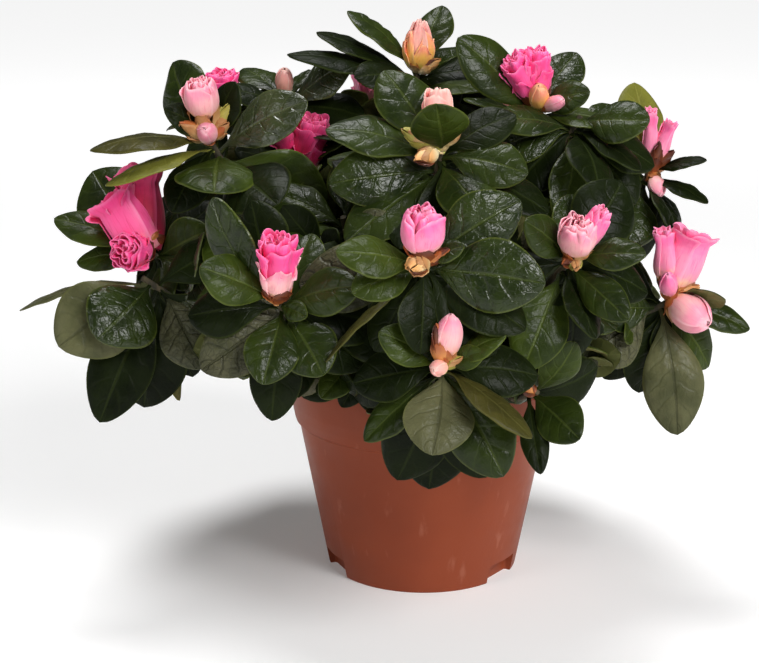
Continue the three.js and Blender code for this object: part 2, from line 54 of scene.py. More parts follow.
# Pot, in mm
RIM_RADIUS = 60
RIM_HEIGHT = 92
FOOT_RADIUS = 43.7
WALL_TOP_RADIUS = 57
COLLAR_BOTTOM = 69.5
COLLAR_FULL = 79
WALL = 1.8
FLOOR = 3
FOOT_BAND = {"height": 11, "wall": 7, "ramp": 4}
NOTCH_BEARINGS = (-66, 54, 174)
NOTCH = {"width": 20, "depth": 6, "height": 9, "rounding": 1.2, "segments": 3}
POT_SEGMENTS = 144
SOIL_EDGE = 82
SOIL_TOP = 84
SOIL_CROWN_RADIUS = 17

# Trunk and boughs, in mm
TRUNK_FOOT = Vector((-2, -1, SOIL_TOP))
TRUNK_TOP = Vector((3, 4, 130))
TRUNK_RADIUS = {"foot": 8.5, "stem": 6, "top": 4.6}
TRUNK_FLARE = 7
BOUGH_RADIUS = {"start": 2.9, "end": 2}
BOUGH_REACH = 0.5
HUB_REACH = 0.68
BOUGH_LIFT = 9
TIER_HEIGHTS = {"low": 98, "middle": 109, "high": 120}

# Relief of the bark as a share of the radius, and its layers: strength, and the scale of the
# noise round the limb and along it
BARK_RELIEF = 0.14
TWIG_RELIEF = 0.09
BARK_NOISE = ((1, 1.7, 0.11), (0.5, 4, 0.3))

# Steps along a limb, or between two points of its path, and sides round it
LIMB_GRIDS = {"trunk": (36, 32), "bough": (24, 16), "stem": (6, 10), "twig": (6, 8), "side": (5, 6)}

# Edges that turn by more degrees than this stay sharp
SHARP_ANGLES = {"plant": 62, "pot": 38}

# Finish of the pot, in mm. The arc at an edge takes up no more than this share of either side.
COLLAR_SHOULDER = ((58.6, 70.5), (59.5, 74.5))
POT_ROUNDING = 0.7
ARC_SHARE = 0.4
ARC_STEPS = 3

# Finish of the soil, in mm
SOIL_GAP = {"wall": 0.6, "floor": 0.3}
SOIL_STEPS = 16
SOIL_SEGMENTS = 72
PEAT_RELIEF = 1.2
PEAT_GRAIN = 260

# Crumbs on the soil: how far out they lie, as shares of its area, and how much they slope. Their
# form gives the places along the middle line and the radii there, as shares of the size.
CRUMBS = {
    "count": 300, "spread": (0.03, 0.95), "slope": 0.5, "size": (0.7, 1.9), "sides": 6, "relief": 0.3,
}
CRUMB_FORM = ((-1, 0.25), (-0.6, 0.65), (0, 0.8), (0.6, 0.6), (1, 0.2))

# Lights: name, place, what each one faces (m), diameter (m) and watts
LIGHTS = (
    ("key", (0.65, -1.0, 0.95), (0, 0, 0.14), 0.7, 21),
    ("fill", (-1.1, -0.9, 0.7), (0, 0, 0.14), 0.7, 3.6),
    ("top", (-0.15, 0.3, 1.3), (0, 0, 0.16), 0.6, 13),
)

# The heights (as sines) between which the world's glow changes, and its glow below and above them
WORLD_GLOW = (0.06, 0.11, 0.95, 0.04)

# The floor, and the distances in m between which its glow changes, and its glow on either side
FLOOR_REACH = 12
FLOOR_GLOW = (0.3, 1.8, 0.1, 0.85)

# Crown, as in the model's rule
CROWN_CENTRE = Vector((-14, 2, 112))
CROWN_RADII = (114, 112, 98)
UPWARD_PULL = 0.45
SEED = 20417
FILL_SHOOTS = 150
FILL_HIGHEST = 0.98
FILL_LOWEST = -0.24
FILL_SPACING = 40
FILL_INSET = 0.8
FILL_FRONT = 0.2
BUD_SHARE = 0.55
FILL_BUD = {"length": 25, "radius": 6, "foot": 2, "smallest": 0.8, "largest": 1.2}
LEAF_STEP = 1.7
SHORTENED = (1, 0.8, 0.62, 0.48)
YOUNG_WHORL = {"count": 7, "tilt": 72, "sag": 0.12, "length": 46}
OLD_WHORL = {"count": 3, "tilt": 92, "sag": 0.2, "length": 48}
JITTER = {"turn": 14, "tilt": 12, "roll": 16, "shortest": 0.85, "longest": 1.12}
FRONT_ROLL = 12
TWIG_RADIUS = {"hub": 1.8, "shoot": 1.3}
TWIG_TIP = 3
TWIG_SAG = 3.5
TWIG_BEND = 0.6
TWIG_ROOT = 0.86

# Finer growth that only the finished plant has: side shoots below each shoot's own leaves, whorls
# at these shares of its twig, and finer leaves that start this far below its node
SIDE_SHOOTS = 4
SIDE_REACH = (14, 24)
SIDE_LEAN = {"along": 0.5, "up": 0.25}
SIDE_RADII = (1.2, 0.9)
SIDE_WHORL = {"count": 5, "tilt": 70, "sag": 0.1, "length": 37}
LOW_WHORLS = (0.62, 0.8)
LOW_WHORL = {"count": 4, "tilt": 88, "sag": 0.15, "length": 42}
MORE_DROP = 4

# Shoots above this height get the finest leaves, as those in front do. Shoots that grow by rule
# get buds only behind this line, because the front of the plant shows no more of them.
NEAR_HEIGHT = 180
FILL_BUDS_BEHIND = 40

# Leaves that grow by rule stay within the dome: shares of the crown's radii, and mm
DOME_REACH = {"front": 0.98, "back": 1.12}
DOME_DEPTH = 0.12
HANG_LOWEST = 62
HANG_SLOPE = 0.3
FEWEST_LEAVES = 3

# How far leaves stay above the pot's rim and beside it, and the lowest that they may hang, in mm
POT_GAP = {"above": 1.5, "beside": 1, "lowest": 40}

# Leaf shape: shares of the length, and mm where a name says so
LEAF_RATIO = 0.56
RATIO_SPREAD = (0.9, 1.12)
LEAF_ARCH = 0.08
LEAF_VEINS = 6
VEIN_SWEEP = 1.1
VEIN_POWER = 1.2
STALK_SHARE = 0.09
STALK_HALF_MM = 0.75
TIP_HALF_MM = 0.12
OUTLINE = {"shift": 1.2, "power": 1.02, "fuller_at_tip": 0.4}
BLADE_MM = 0.45
STALK_MM = 1.3
MIDRIB_MM = {"groove": 0.4, "groove_width": 0.9, "keel": 0.55, "keel_width": 0.8}
SWELL_REACH = 2.6
EDGE_WAVES = 2.3
BUMPS_MM = {"coarse": 0.22, "fine": 0.14}
TWIST_CENTRE = 0.3
TWIST_SHIFT = 0.2

# Ranges that each leaf draws its own form from, in this order
LEAF_DRAWS = {
    "arch": (0.7, 1.3), "fold": (0.02, 0.16), "curl": (0.08, 0.2), "twist": (-12, 12),
    "sickle": (-0.03, 0.03), "wave": (0.01, 0.05), "phase": (0, 6.3),
}
PUCKER = {"plain": (0.3, 0.6), "puckered": (0.5, 1.1)}
PUCKERED_TONES = "Gghd"
OLIVE_TONES = "ome"

# Rows and columns of a leaf's mesh, the part of its rows that is evenly spaced, and the power
# that sets its columns closer to its edges
EVEN_ROWS = 0.45
COLUMN_POWER = 0.9
LEAF_GRIDS = {"near": (26, 13), "middle": (19, 9), "far": (12, 7)}

# A heading that rises more than this counts as upright, and one that stands out less than this
# from its shoot's axis counts as in line with it
STEEPEST = 0.9
NARROWEST = 0.25

# Bearings are read clockwise from straight up, as one looks at the front of the plant from
# 15 degrees above it. Lean is the turn towards the eye. Angles are degrees, lengths mm.
VIEW_PITCH = 15

# Leaf tones: g glossy dark, G glossy and puckered, h silvery sheen, partly from its gloss and partly
# painted sheen in pale blotches, m middle green, o olive, q dark olive, d dull old grey, e dull olive
# grey, k dark, darkened past a leaf's own colour as painted shade for leaves inside and under the crown
# Petal tones: P pale, S salmon, M middle pink, H hot pink, D deep pink with a darker foot of painted
# shade, O orange and cream
# Scale tones: t tan, y yellow green, b brown, o light orange, O cream
# Leaves are (bearing, lean, length, tone, share of the width that faces the eye, width as a
# share of the length). A negative share shows the underside. Without it the rule turns the leaf.
# Buds are (kind, bearing, lean, length, radius, tone, height of its foot above the node). A second
# tone is that of the outer petals.
# Each shoot has its node, its buds, its leaves, and finer leaves that the model doesn't have. Those
# are dark, the tone k that paints the shade inside the crown, and face the eye, unless they say otherwise.
FRONT_SHOOTS = (
    ((-3, 18, 226),
     (("flame", 3, 30, 23, 7, "SO", 2), ("scale", 72, 44, 15, 3, "O", 1)),
     ((20, -20, 36, "g", 0.9, 0.56), (-48, 5, 42, "g", 0.4), (-64, 5, 50, "k", 0.35, 0.5),
      (-78, 12, 60, "k", 0.45, 0.45), (98, 40, 38, "m", 0.5, 0.52), (60, -30, 38, "g", 0.8),
      (122, 30, 42, "g")),
     ((84, 0, 40, "k", 0.8, 0.55), (104, -8, 40, "k", 0.8, 0.6), (-95, 40, 36, "k", 0.8, 0.55),
      (150, 35, 38), (126, 22, 24, "k", 0.9, 0.9))),
    ((-63, 22, 213),
     (("bud", 3, 50, 16, 4, "S", 3),),
     ((-50, -38, 34, "g", 0.7), (58, 20, 38, "h", 0.75, 0.6), (-108, 48, 30, "k"), (28, -40, 26, "g"),
      (150, 30, 34, "k")),
     ((100, 20, 38, "k", 0.8, 0.6), (-75, 10, 32, "k", 0.6, 0.55))),
    ((-91, 35, 208),
     (("ruffle", -5, 30, 16, 7, "H", 2),),
     ((30, -54, 30, "m"), (-50, -35, 26, "g"), (140, 62, 30, "k"), (-100, -30, 36, "k")),
     ((80, 10, 36, "k", 0.8, 0.6), (125, 20, 38), (-150, 10, 36))),
    ((-93, -22, 201),
     (("open", -8, 38, 18, 7.2, "P", 12), ("scale", -68, 52, 18, 4.2, "t", 3),
      ("scale", 34, 25, 17, 3.6, "y", 3), ("scale", 58, 40, 13, 3.2, "t", 2),
      ("bud", -8, 82, 16, 4.4, "P", 2)),
     ((-27, -22, 45, "g", 0.9, 0.6), (-58, 38, 26, "k", 0.8), (-95, 22, 54, "q", 0.35),
      (-113, 30, 54, "o", 0.3), (178, 60, 38, "m", 1, 0.92), (64, 24, 48, "h", 0.9, 0.52),
      (116, 12, 52, "m", 1, 0.62)),
     ((20, 20, 30, "k", 0.8, 0.6), (-150, 20, 36))),
    ((-55, 0, 184),
     (("ruffle", 16, 30, 28, 8, "D", 0), ("bloom", -30, 36, 24, 5, "D", 0)),
     ((-147, 20, 36, "k"), (125, 40, 34, "k"), (60, 20, 34, "g")),
     ((-70, 30, 36), (95, 30, 40), (170, 20, 38))),
    ((5, -62, 202),
     (("open", -4, 2, 23, 6.6, "S", 3), ("scale", -64, 20, 14, 4, "y", 6),
      ("scale", -116, 40, 13, 3.8, "O", 4), ("scale", 38, 30, 12, 3, "t", 4)),
     ((-32, -20, 46, "g", 0.95, 0.56), (-75, 4, 48, "g", 0.7), (-98, 14, 46, "G", 1, 0.55),
      (-128, 20, 50, "g", 0.9, 0.5), (165, 25, 38, "G", 1, 0.78), (103, 20, 38, "g", 0.9, 0.6),
      (114, 16, 50, "k"), (-11, 62, 32, "m", 1, 0.74), (146, 42, 44, "g", 0.9)),
     ((60, 0, 36, "k", 0.8, 0.6), (178, 10, 40))),
    ((50, -5, 212),
     (("ruffle", -33, 26, 24, 6.2, "H", 5), ("ruffle", -7, 22, 23, 6.4, "H", 5),
      ("bud", -12, 62, 17, 4.4, "O", 1), ("bud", 82, 60, 15, 3.4, "P", 4)),
     ((-46, 18, 50, "g", 0.9, 0.5), (-74, 18, 34, "g"), (34, -20, 34, "G", 0.9, 0.6),
      (73, 40, 28, "g", 0.9), (-14, -26, 30, "g"), (-108, 20, 38, "g", 0.85, 0.55), (-135, 42, 30, "k")),
     ((150, 20, 40, "g", 0.9, 0.6), (115, 0, 36, "k", 0.8, 0.6), (-165, 20, 38),
      (102, 26, 42, "m", 0.6, 0.5))),
    ((65, -20, 208),
     (),
     ((94, 34, 34, "g", 0.9, 0.64), (72, -24, 27, "g", 0.8, 0.55), (-170, 24, 42, "g", 0.9, 0.46),
      (126, 24, 36, "k"), (165, 48, 44, "k")),
     ((-102, -4, 38, "G", 0.9, 0.6), (-135, 6, 40), (140, 4, 42), (112, -10, 40, "k", 0.8, 0.6),
      (-84, 12, 36, "g", 0.7, 0.55))),
    ((102, 8, 182),
     (("tube", -3, 20, 26, 3.9, "M", 4), ("tube", 20, 22, 21, 4.2, "M", 5),
      ("scale", 12, 40, 17, 4, "b", 0), ("scale", 48, 30, 16, 3.4, "b", 0),
      ("bud", 166, 40, 13, 3.8, "P", 4)),
     ((82, 42, 29, "k", 0.5, 0.42), (118, 32, 33, "k", 0.5, 0.5), (154, 30, 36, "k"),
      (-80, 34, 30, "k"), (-165, 28, 34, "G", 1, 0.75), (-7, -8, 43, "o", 0.9, 0.58)),
     ((-68, 4, 38), (-104, 10, 42, "g", 0.9, 0.6), (-136, 10, 40), (-168, -10, 42),
      (150, -16, 38, "k", 0.8, 0.55), (-150, -12, 24, "k", 0.9, 0.9))),
    ((107, -28, 131),
     (("tube", -9, 20, 24, 5.8, "M", 10), ("bloom", 17, 12, 28, 8.2, "M", 6),
      ("bud", 129, 44, 23, 8, "P", 2), ("bud", -18, 52, 16, 4, "M", 4),
      ("scale", 62, 35, 17, 3.6, "O", 0), ("scale", 74, 50, 15, 3, "b", 0)),
     ((108, 2, 38, "g", 0.8, 0.4), (141, -20, 38, "m", 0.9, 0.6), (173, 4, 57, "e", 1, 0.47),
      (-123, 12, 39, "d", 1, 0.76), (-149, -22, 38, "k", 1), (90, 40, 27, "k"),
      (-87, 30, 32, "G", 1, 0.7)),
     ((-98, -14, 38), (-168, -18, 42, "k", 0.9, 0.56), (-60, -10, 36), (-142, -30, 40),
      (176, -14, 26, "k", 0.9, 0.7), (-125, -22, 26, "k", 0.9, 0.8), (148, -26, 26, "k", 0.9, 0.8),
      (-84, -24, 24, "k", 0.9, 0.9))),
    ((57, -92, 164),
     (("open", 1, 50, 18, 7.4, "P", 4), ("open", 29, 34, 22, 4.8, "M", 4),
      ("scale", -120, 55, 12, 3, "b", 0), ("scale", -168, 60, 12, 3.2, "y", 0)),
     ((89, 30, 30, "g", 0.85, 0.5), (136, 30, 36, "g", 1, 0.44), (159, 28, 34, "k"),
      (8, -20, 32, "G", 0.9), (-52, 36, 30, "g", 0.9, 0.56), (-158, 14, 44, "m", 1, 0.54),
      (34, -16, 40, "k", 1, 0.7)),
     ((110, -14, 36), (-100, -10, 36), (178, -10, 40))),
    ((-3, -118, 168),
     (("open", -5, 36, 19, 8, "M", 5), ("scale", -122, 62, 13, 4.4, "O", 2),
      ("scale", 66, 40, 14, 3, "b", 0)),
     ((-82, 22, 36, "m", 0.8), (-108, 24, 31, "m", 0.9, 0.56), (98, 17, 48, "G", 1, 0.6),
      (70, 30, 18, "g"), (57, 2, 44, "G", 1), (-132, 5, 50, "q", 0.14, 0.36), (120, 14, 46, "k", 0.9)),
     ((-150, -10, 38), (165, -8, 42), (-178, 10, 34), (140, -6, 44))),
    ((-60, -108, 150),
     (("ruffle", 3, 30, 28, 7.2, "HP", 2),),
     ((-66, 24, 34, "m", 0.9, 0.62), (-167, 28, 34, "g", 1, 0.64), (148, 32, 34, "g", 1, 0.68),
      (76, 28, 36, "g", 0.9), (114, 42, 16, "g"), (-32, 8, 48, "G", 0.8, 0.42),
      (-126, 4, 40, "d", 1, 0.6), (-171, 2, 42, "k", 1, 0.5), (15, -26, 38, "g", 0.9)),
     ((-96, -12, 38), (-16, -10, 44, "k", 0.9, 0.56), (100, -14, 42), (125, -12, 42))),
    ((5, -125, 129),
     (("bud", 6, 29, 19, 5.2, "P", 4), ("bud", -112, 60, 10, 3.2, "S", 1),
      ("scale", -14, 33, 18, 3.8, "b", 2), ("scale", 64, 45, 11, 2.6, "y", 0)),
     ((-60, 20, 30, "m", 0.9), (62, 22, 28, "m", 0.7, 0.5), (73, 34, 18, "m"),
      (-132, 4, 40, "g", 0.8, 0.42), (-172, 30, 37, "e", 1, 0.74), (150, 16, 48, "g", 1),
      (129, 26, 46, "q", 0.5, 0.42), (-159, -18, 48, "k", 1), (-176, -22, 50, "k", 1, 0.6),
      (156, -10, 46, "k", 1)),
     ((95, -10, 38), (-100, -10, 36), (-30, -16, 32))),
    ((42, -92, 108),
     (("scale", -50, 35, 9, 3, "b", 0),),
     ((37, 32, 30, "m", 0.9), (135, 40, 32, "g", 1, 0.62), (174, 30, 36, "k", 1, 0.32),
      (-20, -46, 30, "k"), (96, -36, 30, "m")),
     ((70, -20, 34), (5, -30, 34))),
    ((-121, -22, 152),
     (("bloom", -35, 10, 32, 10.2, "H", 0), ("ruffle", -99, 62, 18, 7.6, "H", 3),
      ("bloom", -10, -12, 40, 9, "D", 0), ("scale", -60, 66, 12, 4, "y", 0)),
     ((-71, -10, 46, "m", 0.85, 0.4), (-94, -14, 37, "m", 0.8, 0.42), (-38, -26, 54, "g", 1, 0.66),
      (64, 20, 28, "m", 1, 0.75), (170, 40, 32, "g")),
     ((48, -6, 36), (92, 10, 36), (120, 30, 34, "g", 0.9, 0.6), (150, 18, 38), (178, 2, 36),
      (18, -30, 38))),
    ((-118, -48, 144),
     (),
     ((-128, 18, 47, "e", 1, 0.74), (-141, 37, 38, "G", 1, 0.86), (151, 12, 38, "d", 1, 0.66),
      (108, 17, 38, "h", 1, 0.5), (-157.5, 6, 62, "k", 1, 0.44), (-170, -14, 53, "k", 1, 0.62),
      (-98.5, -28, 74, "e", 0.3, 0.18), (178, -22, 49, "o", -0.25, 0.4)),
     ((62, 0, 36), (160, -20, 44, "k", 0.9, 0.56), (125, -10, 40))),
)

# Foliage masses: the middle that each one keeps round, and the tier its bough starts from
MASSES = {
    "crown_top": ((-5, 22, 215), "top"),
    "upper_left": ((-80, 8, 192), "high"),
    "upper_right": ((68, -4, 192), "high"),
    "upper_front": ((4, -60, 196), "high"),
    "front": ((2, -112, 146), "low"),
    "front_left": ((-62, -92, 138), "middle"),
    "front_right": ((52, -86, 136), "middle"),
    "left": ((-118, -30, 140), "low"),
    "right": ((102, -18, 132), "low"),
    "back_left": ((-82, 78, 140), "middle"),
    "back": ((-8, 104, 148), "low"),
    "back_right": ((68, 74, 140), "middle"),
}

UP = Vector((0, 0, 1))

# Two more streams of seeded numbers, for detail that the model doesn't have
detail = random.Random(SEED + 1)
petal_dice = random.Random(SEED + 2)


class Stream:
    """The model's stream of seeded numbers, used in the order that the plant grows."""

    def __init__(self, seed):
        self.state = seed

    def draw(self, low=0.0, high=1.0):
        self.state = (self.state * 1664525 + 1013904223) % 4294967296
        return low + (high - low) * (self.state / 4294967296)


stream = Stream(SEED)


# Node graphs

class Wire:
    """An output of a node. A sum with it adds a node to its graph."""

    def __init__(self, graph, socket):
        self.graph = graph
        self.socket = socket

    def maths(self, operation, other=0.0):
        return self.graph.add("ShaderNodeMath", {0: self, 1: other}, operation=operation)

    def __add__(self, other):
        return self.maths("ADD", other)

    def __sub__(self, other):
        return self.maths("SUBTRACT", other)

    def __mul__(self, other):
        return self.maths("MULTIPLY", other)

    def __pow__(self, other):
        return self.maths("POWER", other)

    def __abs__(self):
        return self.maths("ABSOLUTE")


class Graph:
    """Short names for the nodes of one tree."""

    def __init__(self, tree):
        self.tree = tree

    def feed(self, node, inputs):
        for key, value in inputs.items():
            if isinstance(value, Wire):
                self.tree.links.new(value.socket, node.inputs[key])
            else:
                node.inputs[key].default_value = value

    def add(self, kind, inputs, output=0, **settings):
        node = self.tree.nodes.new(kind)
        for key, value in settings.items():
            setattr(node, key, value)
        self.feed(node, inputs)
        return Wire(self, node.outputs[output])

    def place(self, kind="Object"):
        return self.add("ShaderNodeTexCoord", {}, kind)

    def split(self, vector):
        node = self.tree.nodes.new("ShaderNodeSeparateXYZ")
        self.feed(node, {0: vector})
        return [Wire(self, socket) for socket in node.outputs]

    def stretch(self, vector, scale):
        return self.add("ShaderNodeMapping", {"Vector": vector, "Scale": scale})

    def noise(self, scale, octaves, stretch=(1, 1, 1), place=None):
        vector = self.stretch(place or self.place(), stretch)
        return self.add("ShaderNodeTexNoise", {"Vector": vector, "Scale": scale, "Detail": octaves})

    def step(self, value, low, high, start=0, end=1):
        """A smooth rise of the value between low and high."""
        inputs = {"Value": value, "From Min": low, "From Max": high, "To Min": start, "To Max": end}
        return self.add("ShaderNodeMapRange", inputs, interpolation_type="SMOOTHSTEP")

    def mix(self, share, first, second):
        return self.add("ShaderNodeMix", {0: share, 6: first, 7: second}, 2, data_type="RGBA")

    def bump(self, strength, distance, height):
        return self.add("ShaderNodeBump", {"Strength": strength, "Distance": distance, "Height": height})


class Surface(Graph):
    """A material under way."""

    def __init__(self, name):
        self.material = bpy.data.materials.new(name)
        self.material.use_nodes = True
        super().__init__(self.material.node_tree)

    def uv(self):
        return self.add("ShaderNodeUVMap", {}, "UV", uv_map="UVMap")

    def finish(self, tint, roughness, **others):
        """Feeds the shader. The other sockets are named with _ for a space."""
        inputs = {key.replace("_", " "): value for key, value in others.items()}
        shader = self.tree.nodes["Principled BSDF"]
        self.feed(shader, {"Base Color": tint, "Roughness": roughness, **inputs})
        return self.material


def colour(red, green, blue):
    """An opaque linear colour from screen values of 0 to 255."""
    def linear(value):
        share = value / 255
        return share / 12.92 if share <= 0.04045 else ((share + 0.055) / 1.055) ** 2.4
    return (linear(red), linear(green), linear(blue), 1.0)


# Materials

def leaf_coordinates(leaf):
    """The map, the place across from -1 to 1, its distance from the midrib, and the place along."""
    uv = leaf.uv()
    across, along, _ = leaf.split(uv)
    signed = across * 2 - 1
    return uv, signed, abs(signed), along


def vein_mask(leaf, signed, away, along):
    """1 on the side veins, which sweep forwards from the midrib, and 0 between them."""
    wander = (leaf.noise(160, 1) - 0.5) * 0.5
    other_side = signed.maths("LESS_THAN") * 0.5
    place = along * LEAF_VEINS - away ** VEIN_POWER * VEIN_SWEEP + other_side + wander
    ridge = abs(place.maths("FRACT") - 0.5)
    return leaf.step(ridge, 0.38, 0.5) * leaf.step(away, 0.96, 0.7)


def leaf_material(name, look):
    """Upper face of a leaf: mottled, with pale blotches that on the tone h are painted sheen, a pale
    midrib, side veins, a fine net and a margin.
    """
    leaf = Surface(name)
    uv, signed, away, along = leaf_coordinates(leaf)
    side = vein_mask(leaf, signed, away, along)
    midrib = leaf.step(away, 0.075, 0.02)
    margin = leaf.step(away, 0.93, 0.99)
    cells = {"Vector": leaf.stretch(uv, (9, 15, 1)), "Scale": 1}
    edges = leaf.add("ShaderNodeTexVoronoi", cells, "Distance", feature="DISTANCE_TO_EDGE")
    net = leaf.step(edges, 0.1, 0)
    tint = leaf.mix(leaf.step(leaf.noise(70, 3), 0.35, 0.65), look["dark"], look["light"])
    # Pale blotches: mottling on every tone, and painted sheen on the silvery tone h
    blotch = leaf.step(leaf.noise(24, 2), 0.4, 0.7)
    layers = (
        (blotch, look["blotch"], look["patch_and_sheen"]), (net, look["net"], look["vein"]),
        (side, look["side"], look["vein"]), (midrib, look["midrib"], look["rib"]),
        (margin, look["border"], look["margin"]),
    )
    for mask, share, over in layers:
        tint = leaf.mix(mask * share, tint, over)
    dust = leaf.step(leaf.noise(45, 4), 0.3, 0.7, look["rough"] - 0.06, look["rough"] + 0.1)
    relief = leaf.noise(190, 3) * 2.6 - (side * 0.6 + net * 0.14 + midrib)
    normal = leaf.bump(look["bump"], 0.0006, relief)
    return leaf.finish(
        tint, dust, Specular_IOR_Level=0.05, Coat_Weight=look["coat"],
        Coat_Roughness=look["coat_rough"], Normal=normal, Coat_Normal=normal,
    )


def underside_material(name, base, light):
    """Under face of a leaf: pale and matt, with a raised net of veins."""
    leaf = Surface(name)
    _, signed, away, along = leaf_coordinates(leaf)
    side = vein_mask(leaf, signed, away, along)
    veins = (side * 0.6).maths("MAXIMUM", leaf.step(away, 0.09, 0.02))
    tint = leaf.mix(veins * 0.5, leaf.mix(leaf.noise(80, 3), base, light), light)
    return leaf.finish(tint, 0.6, Normal=leaf.bump(0.5, 0.0004, veins))


def petal_material(name, foot, middle, edge, shade, rim):
    """A petal: pale at its foot, streaked along its length, with a pale rim."""
    petal = Surface(name)
    uv = petal.uv()
    across, along, _ = petal.split(uv)
    streaks = petal.noise(2.2, 3, (14, 1.4, 1), uv)
    rise = along + (petal.noise(260, 3) - 0.5) * 0.5
    tint = petal.mix(petal.step(rise, 0.02, 0.4), foot, middle)
    tint = petal.mix(petal.step(rise, 0.45, 0.95), tint, edge)
    tint = petal.mix(petal.step(streaks, 0.5, 0.75) * 0.55, tint, shade)
    side_rim = petal.step(abs(across - 0.5), 0.42, 0.5)
    ends = side_rim.maths("MAXIMUM", petal.step(along, 0.9, 1))
    tint = petal.mix(ends * 0.45, tint, rim)
    return petal.finish(
        tint, 0.5, Subsurface_Weight=0.2, Subsurface_Radius=(1, 0.45, 0.55), Subsurface_Scale=0.004,
        Sheen_Weight=0.1, Normal=petal.bump(0.35, 0.0004, streaks),
    )


def scale_material(name, base, tip):
    """A bud scale: papery, streaked along, darker to its tip."""
    scale = Surface(name)
    uv = scale.uv()
    fibre = scale.noise(3, 4, (10, 1.5, 1), uv)
    tint = scale.mix(scale.step(scale.split(uv)[1], 0.2, 0.95), base, tip)
    tint = scale.mix(scale.step(fibre, 0.55, 0.8, 0, 0.5), tint, tip)
    return scale.finish(tint, 0.45, Normal=scale.bump(0.4, 0.0003, fibre))


def bark_material(name, dark, light, grain):
    """Bark with fissures that run up the limb."""
    bark = Surface(name)
    fissures = bark.noise(grain, 6, (1, 1, 0.25))
    tint = bark.mix(bark.step(fissures, 0.35, 0.65), dark, light)
    return bark.finish(tint, 0.85, Normal=bark.bump(0.8, 0.0008, fissures))


def pot_material():
    """Moulded plastic the colour of fired clay: satin, slightly mottled, with pale scuffs."""
    pot = Surface("pot_plastic")
    scuffs = pot.step(pot.noise(130, 5, (1, 1, 0.35)), 0.62, 0.74)
    tint = pot.mix(pot.step(pot.noise(16, 3), 0.35, 0.65), colour(124, 54, 28), colour(136, 62, 34))
    tint = pot.mix(scuffs * 0.22, tint, colour(188, 128, 106))
    worn = pot.step(pot.noise(60, 4), 0.3, 0.7, 0.42, 0.56)
    grain = pot.bump(0.12, 0.0003, pot.noise(900, 2))
    return pot.finish(tint, worn, Specular_IOR_Level=0.22, Normal=grain)


def peat_material():
    peat = Surface("peat")
    crumbs = peat.noise(420, 6)
    tint = peat.mix(peat.step(crumbs, 0.35, 0.7), colour(28, 18, 13), colour(78, 54, 38))
    return peat.finish(tint, 0.95, Normal=peat.bump(1, 0.0015, crumbs))


def leaf_look(dark, light, patch_and_sheen, vein, rib, margin, **numbers):
    tints = {"dark": dark, "light": light, "patch_and_sheen": patch_and_sheen, "vein": vein, "rib": rib, "margin": margin}
    shares = {"blotch": 0.3, "net": 0.12, "side": 0.25, "midrib": 0.45, "border": 0.4}
    finish = {"rough": 0.48, "coat": 0.27, "coat_rough": 0.26, "bump": 0.4}
    return {**{key: colour(*tint) for key, tint in tints.items()}, **shares, **finish, **numbers}


LEAF_LOOKS = {
    "g": leaf_look((23, 33, 7), (38, 49, 12), (44, 54, 16), (50, 61, 20), (68, 79, 31), (86, 95, 39)),
    "G": leaf_look(
        (21, 31, 7), (36, 47, 12), (42, 52, 16), (48, 59, 20), (66, 77, 31), (92, 101, 41),
        coat=0.42, coat_rough=0.22, bump=0.7,
    ),
    # h: its pale blotches paint part of its silvery sheen; its coat gives the rest
    "h": leaf_look(
        (32, 40, 18), (50, 57, 29), (72, 76, 52), (64, 71, 40), (80, 87, 50), (90, 97, 48),
        blotch=0.5, rough=0.32, coat=0.9, coat_rough=0.25, bump=0.7,
    ),
    "m": leaf_look(
        (31, 42, 8), (48, 60, 14), (54, 65, 19), (60, 72, 24), (80, 92, 37), (94, 104, 43),
        rough=0.52, coat=0.18, coat_rough=0.3,
    ),
    "q": leaf_look(
        (42, 42, 15), (62, 60, 24), (70, 64, 28), (76, 74, 34), (88, 86, 42), (92, 90, 44),
        rough=0.5, coat=0.12, coat_rough=0.35,
    ),
    "o": leaf_look(
        (78, 80, 26), (104, 104, 40), (112, 110, 46), (116, 114, 50), (128, 126, 60), (126, 124, 58),
        rough=0.52, coat=0.1, coat_rough=0.35,
    ),
    "d": leaf_look(
        (50, 53, 32), (76, 76, 53), (84, 77, 59), (34, 36, 20), (48, 50, 29), (88, 92, 48),
        blotch=0.5, coat=0.3, coat_rough=0.36, net=0.5, side=0.5, bump=1.0,
    ),
    "e": leaf_look(
        (62, 64, 40), (86, 86, 58), (92, 90, 62), (54, 56, 34), (44, 45, 26), (94, 97, 50),
        coat=0.15, coat_rough=0.3, side=0.2, bump=0.5,
    ),
    # k: darker than a leaf's own colour, a painted shade for leaves deep inside and under the crown
    "k": leaf_look(
        (9, 16, 2), (18, 26, 5), (24, 31, 8), (28, 35, 10), (42, 51, 18), (56, 65, 24),
        coat=0.06, coat_rough=0.3,
    ),
}
LEAF_TONES = tuple(LEAF_LOOKS)

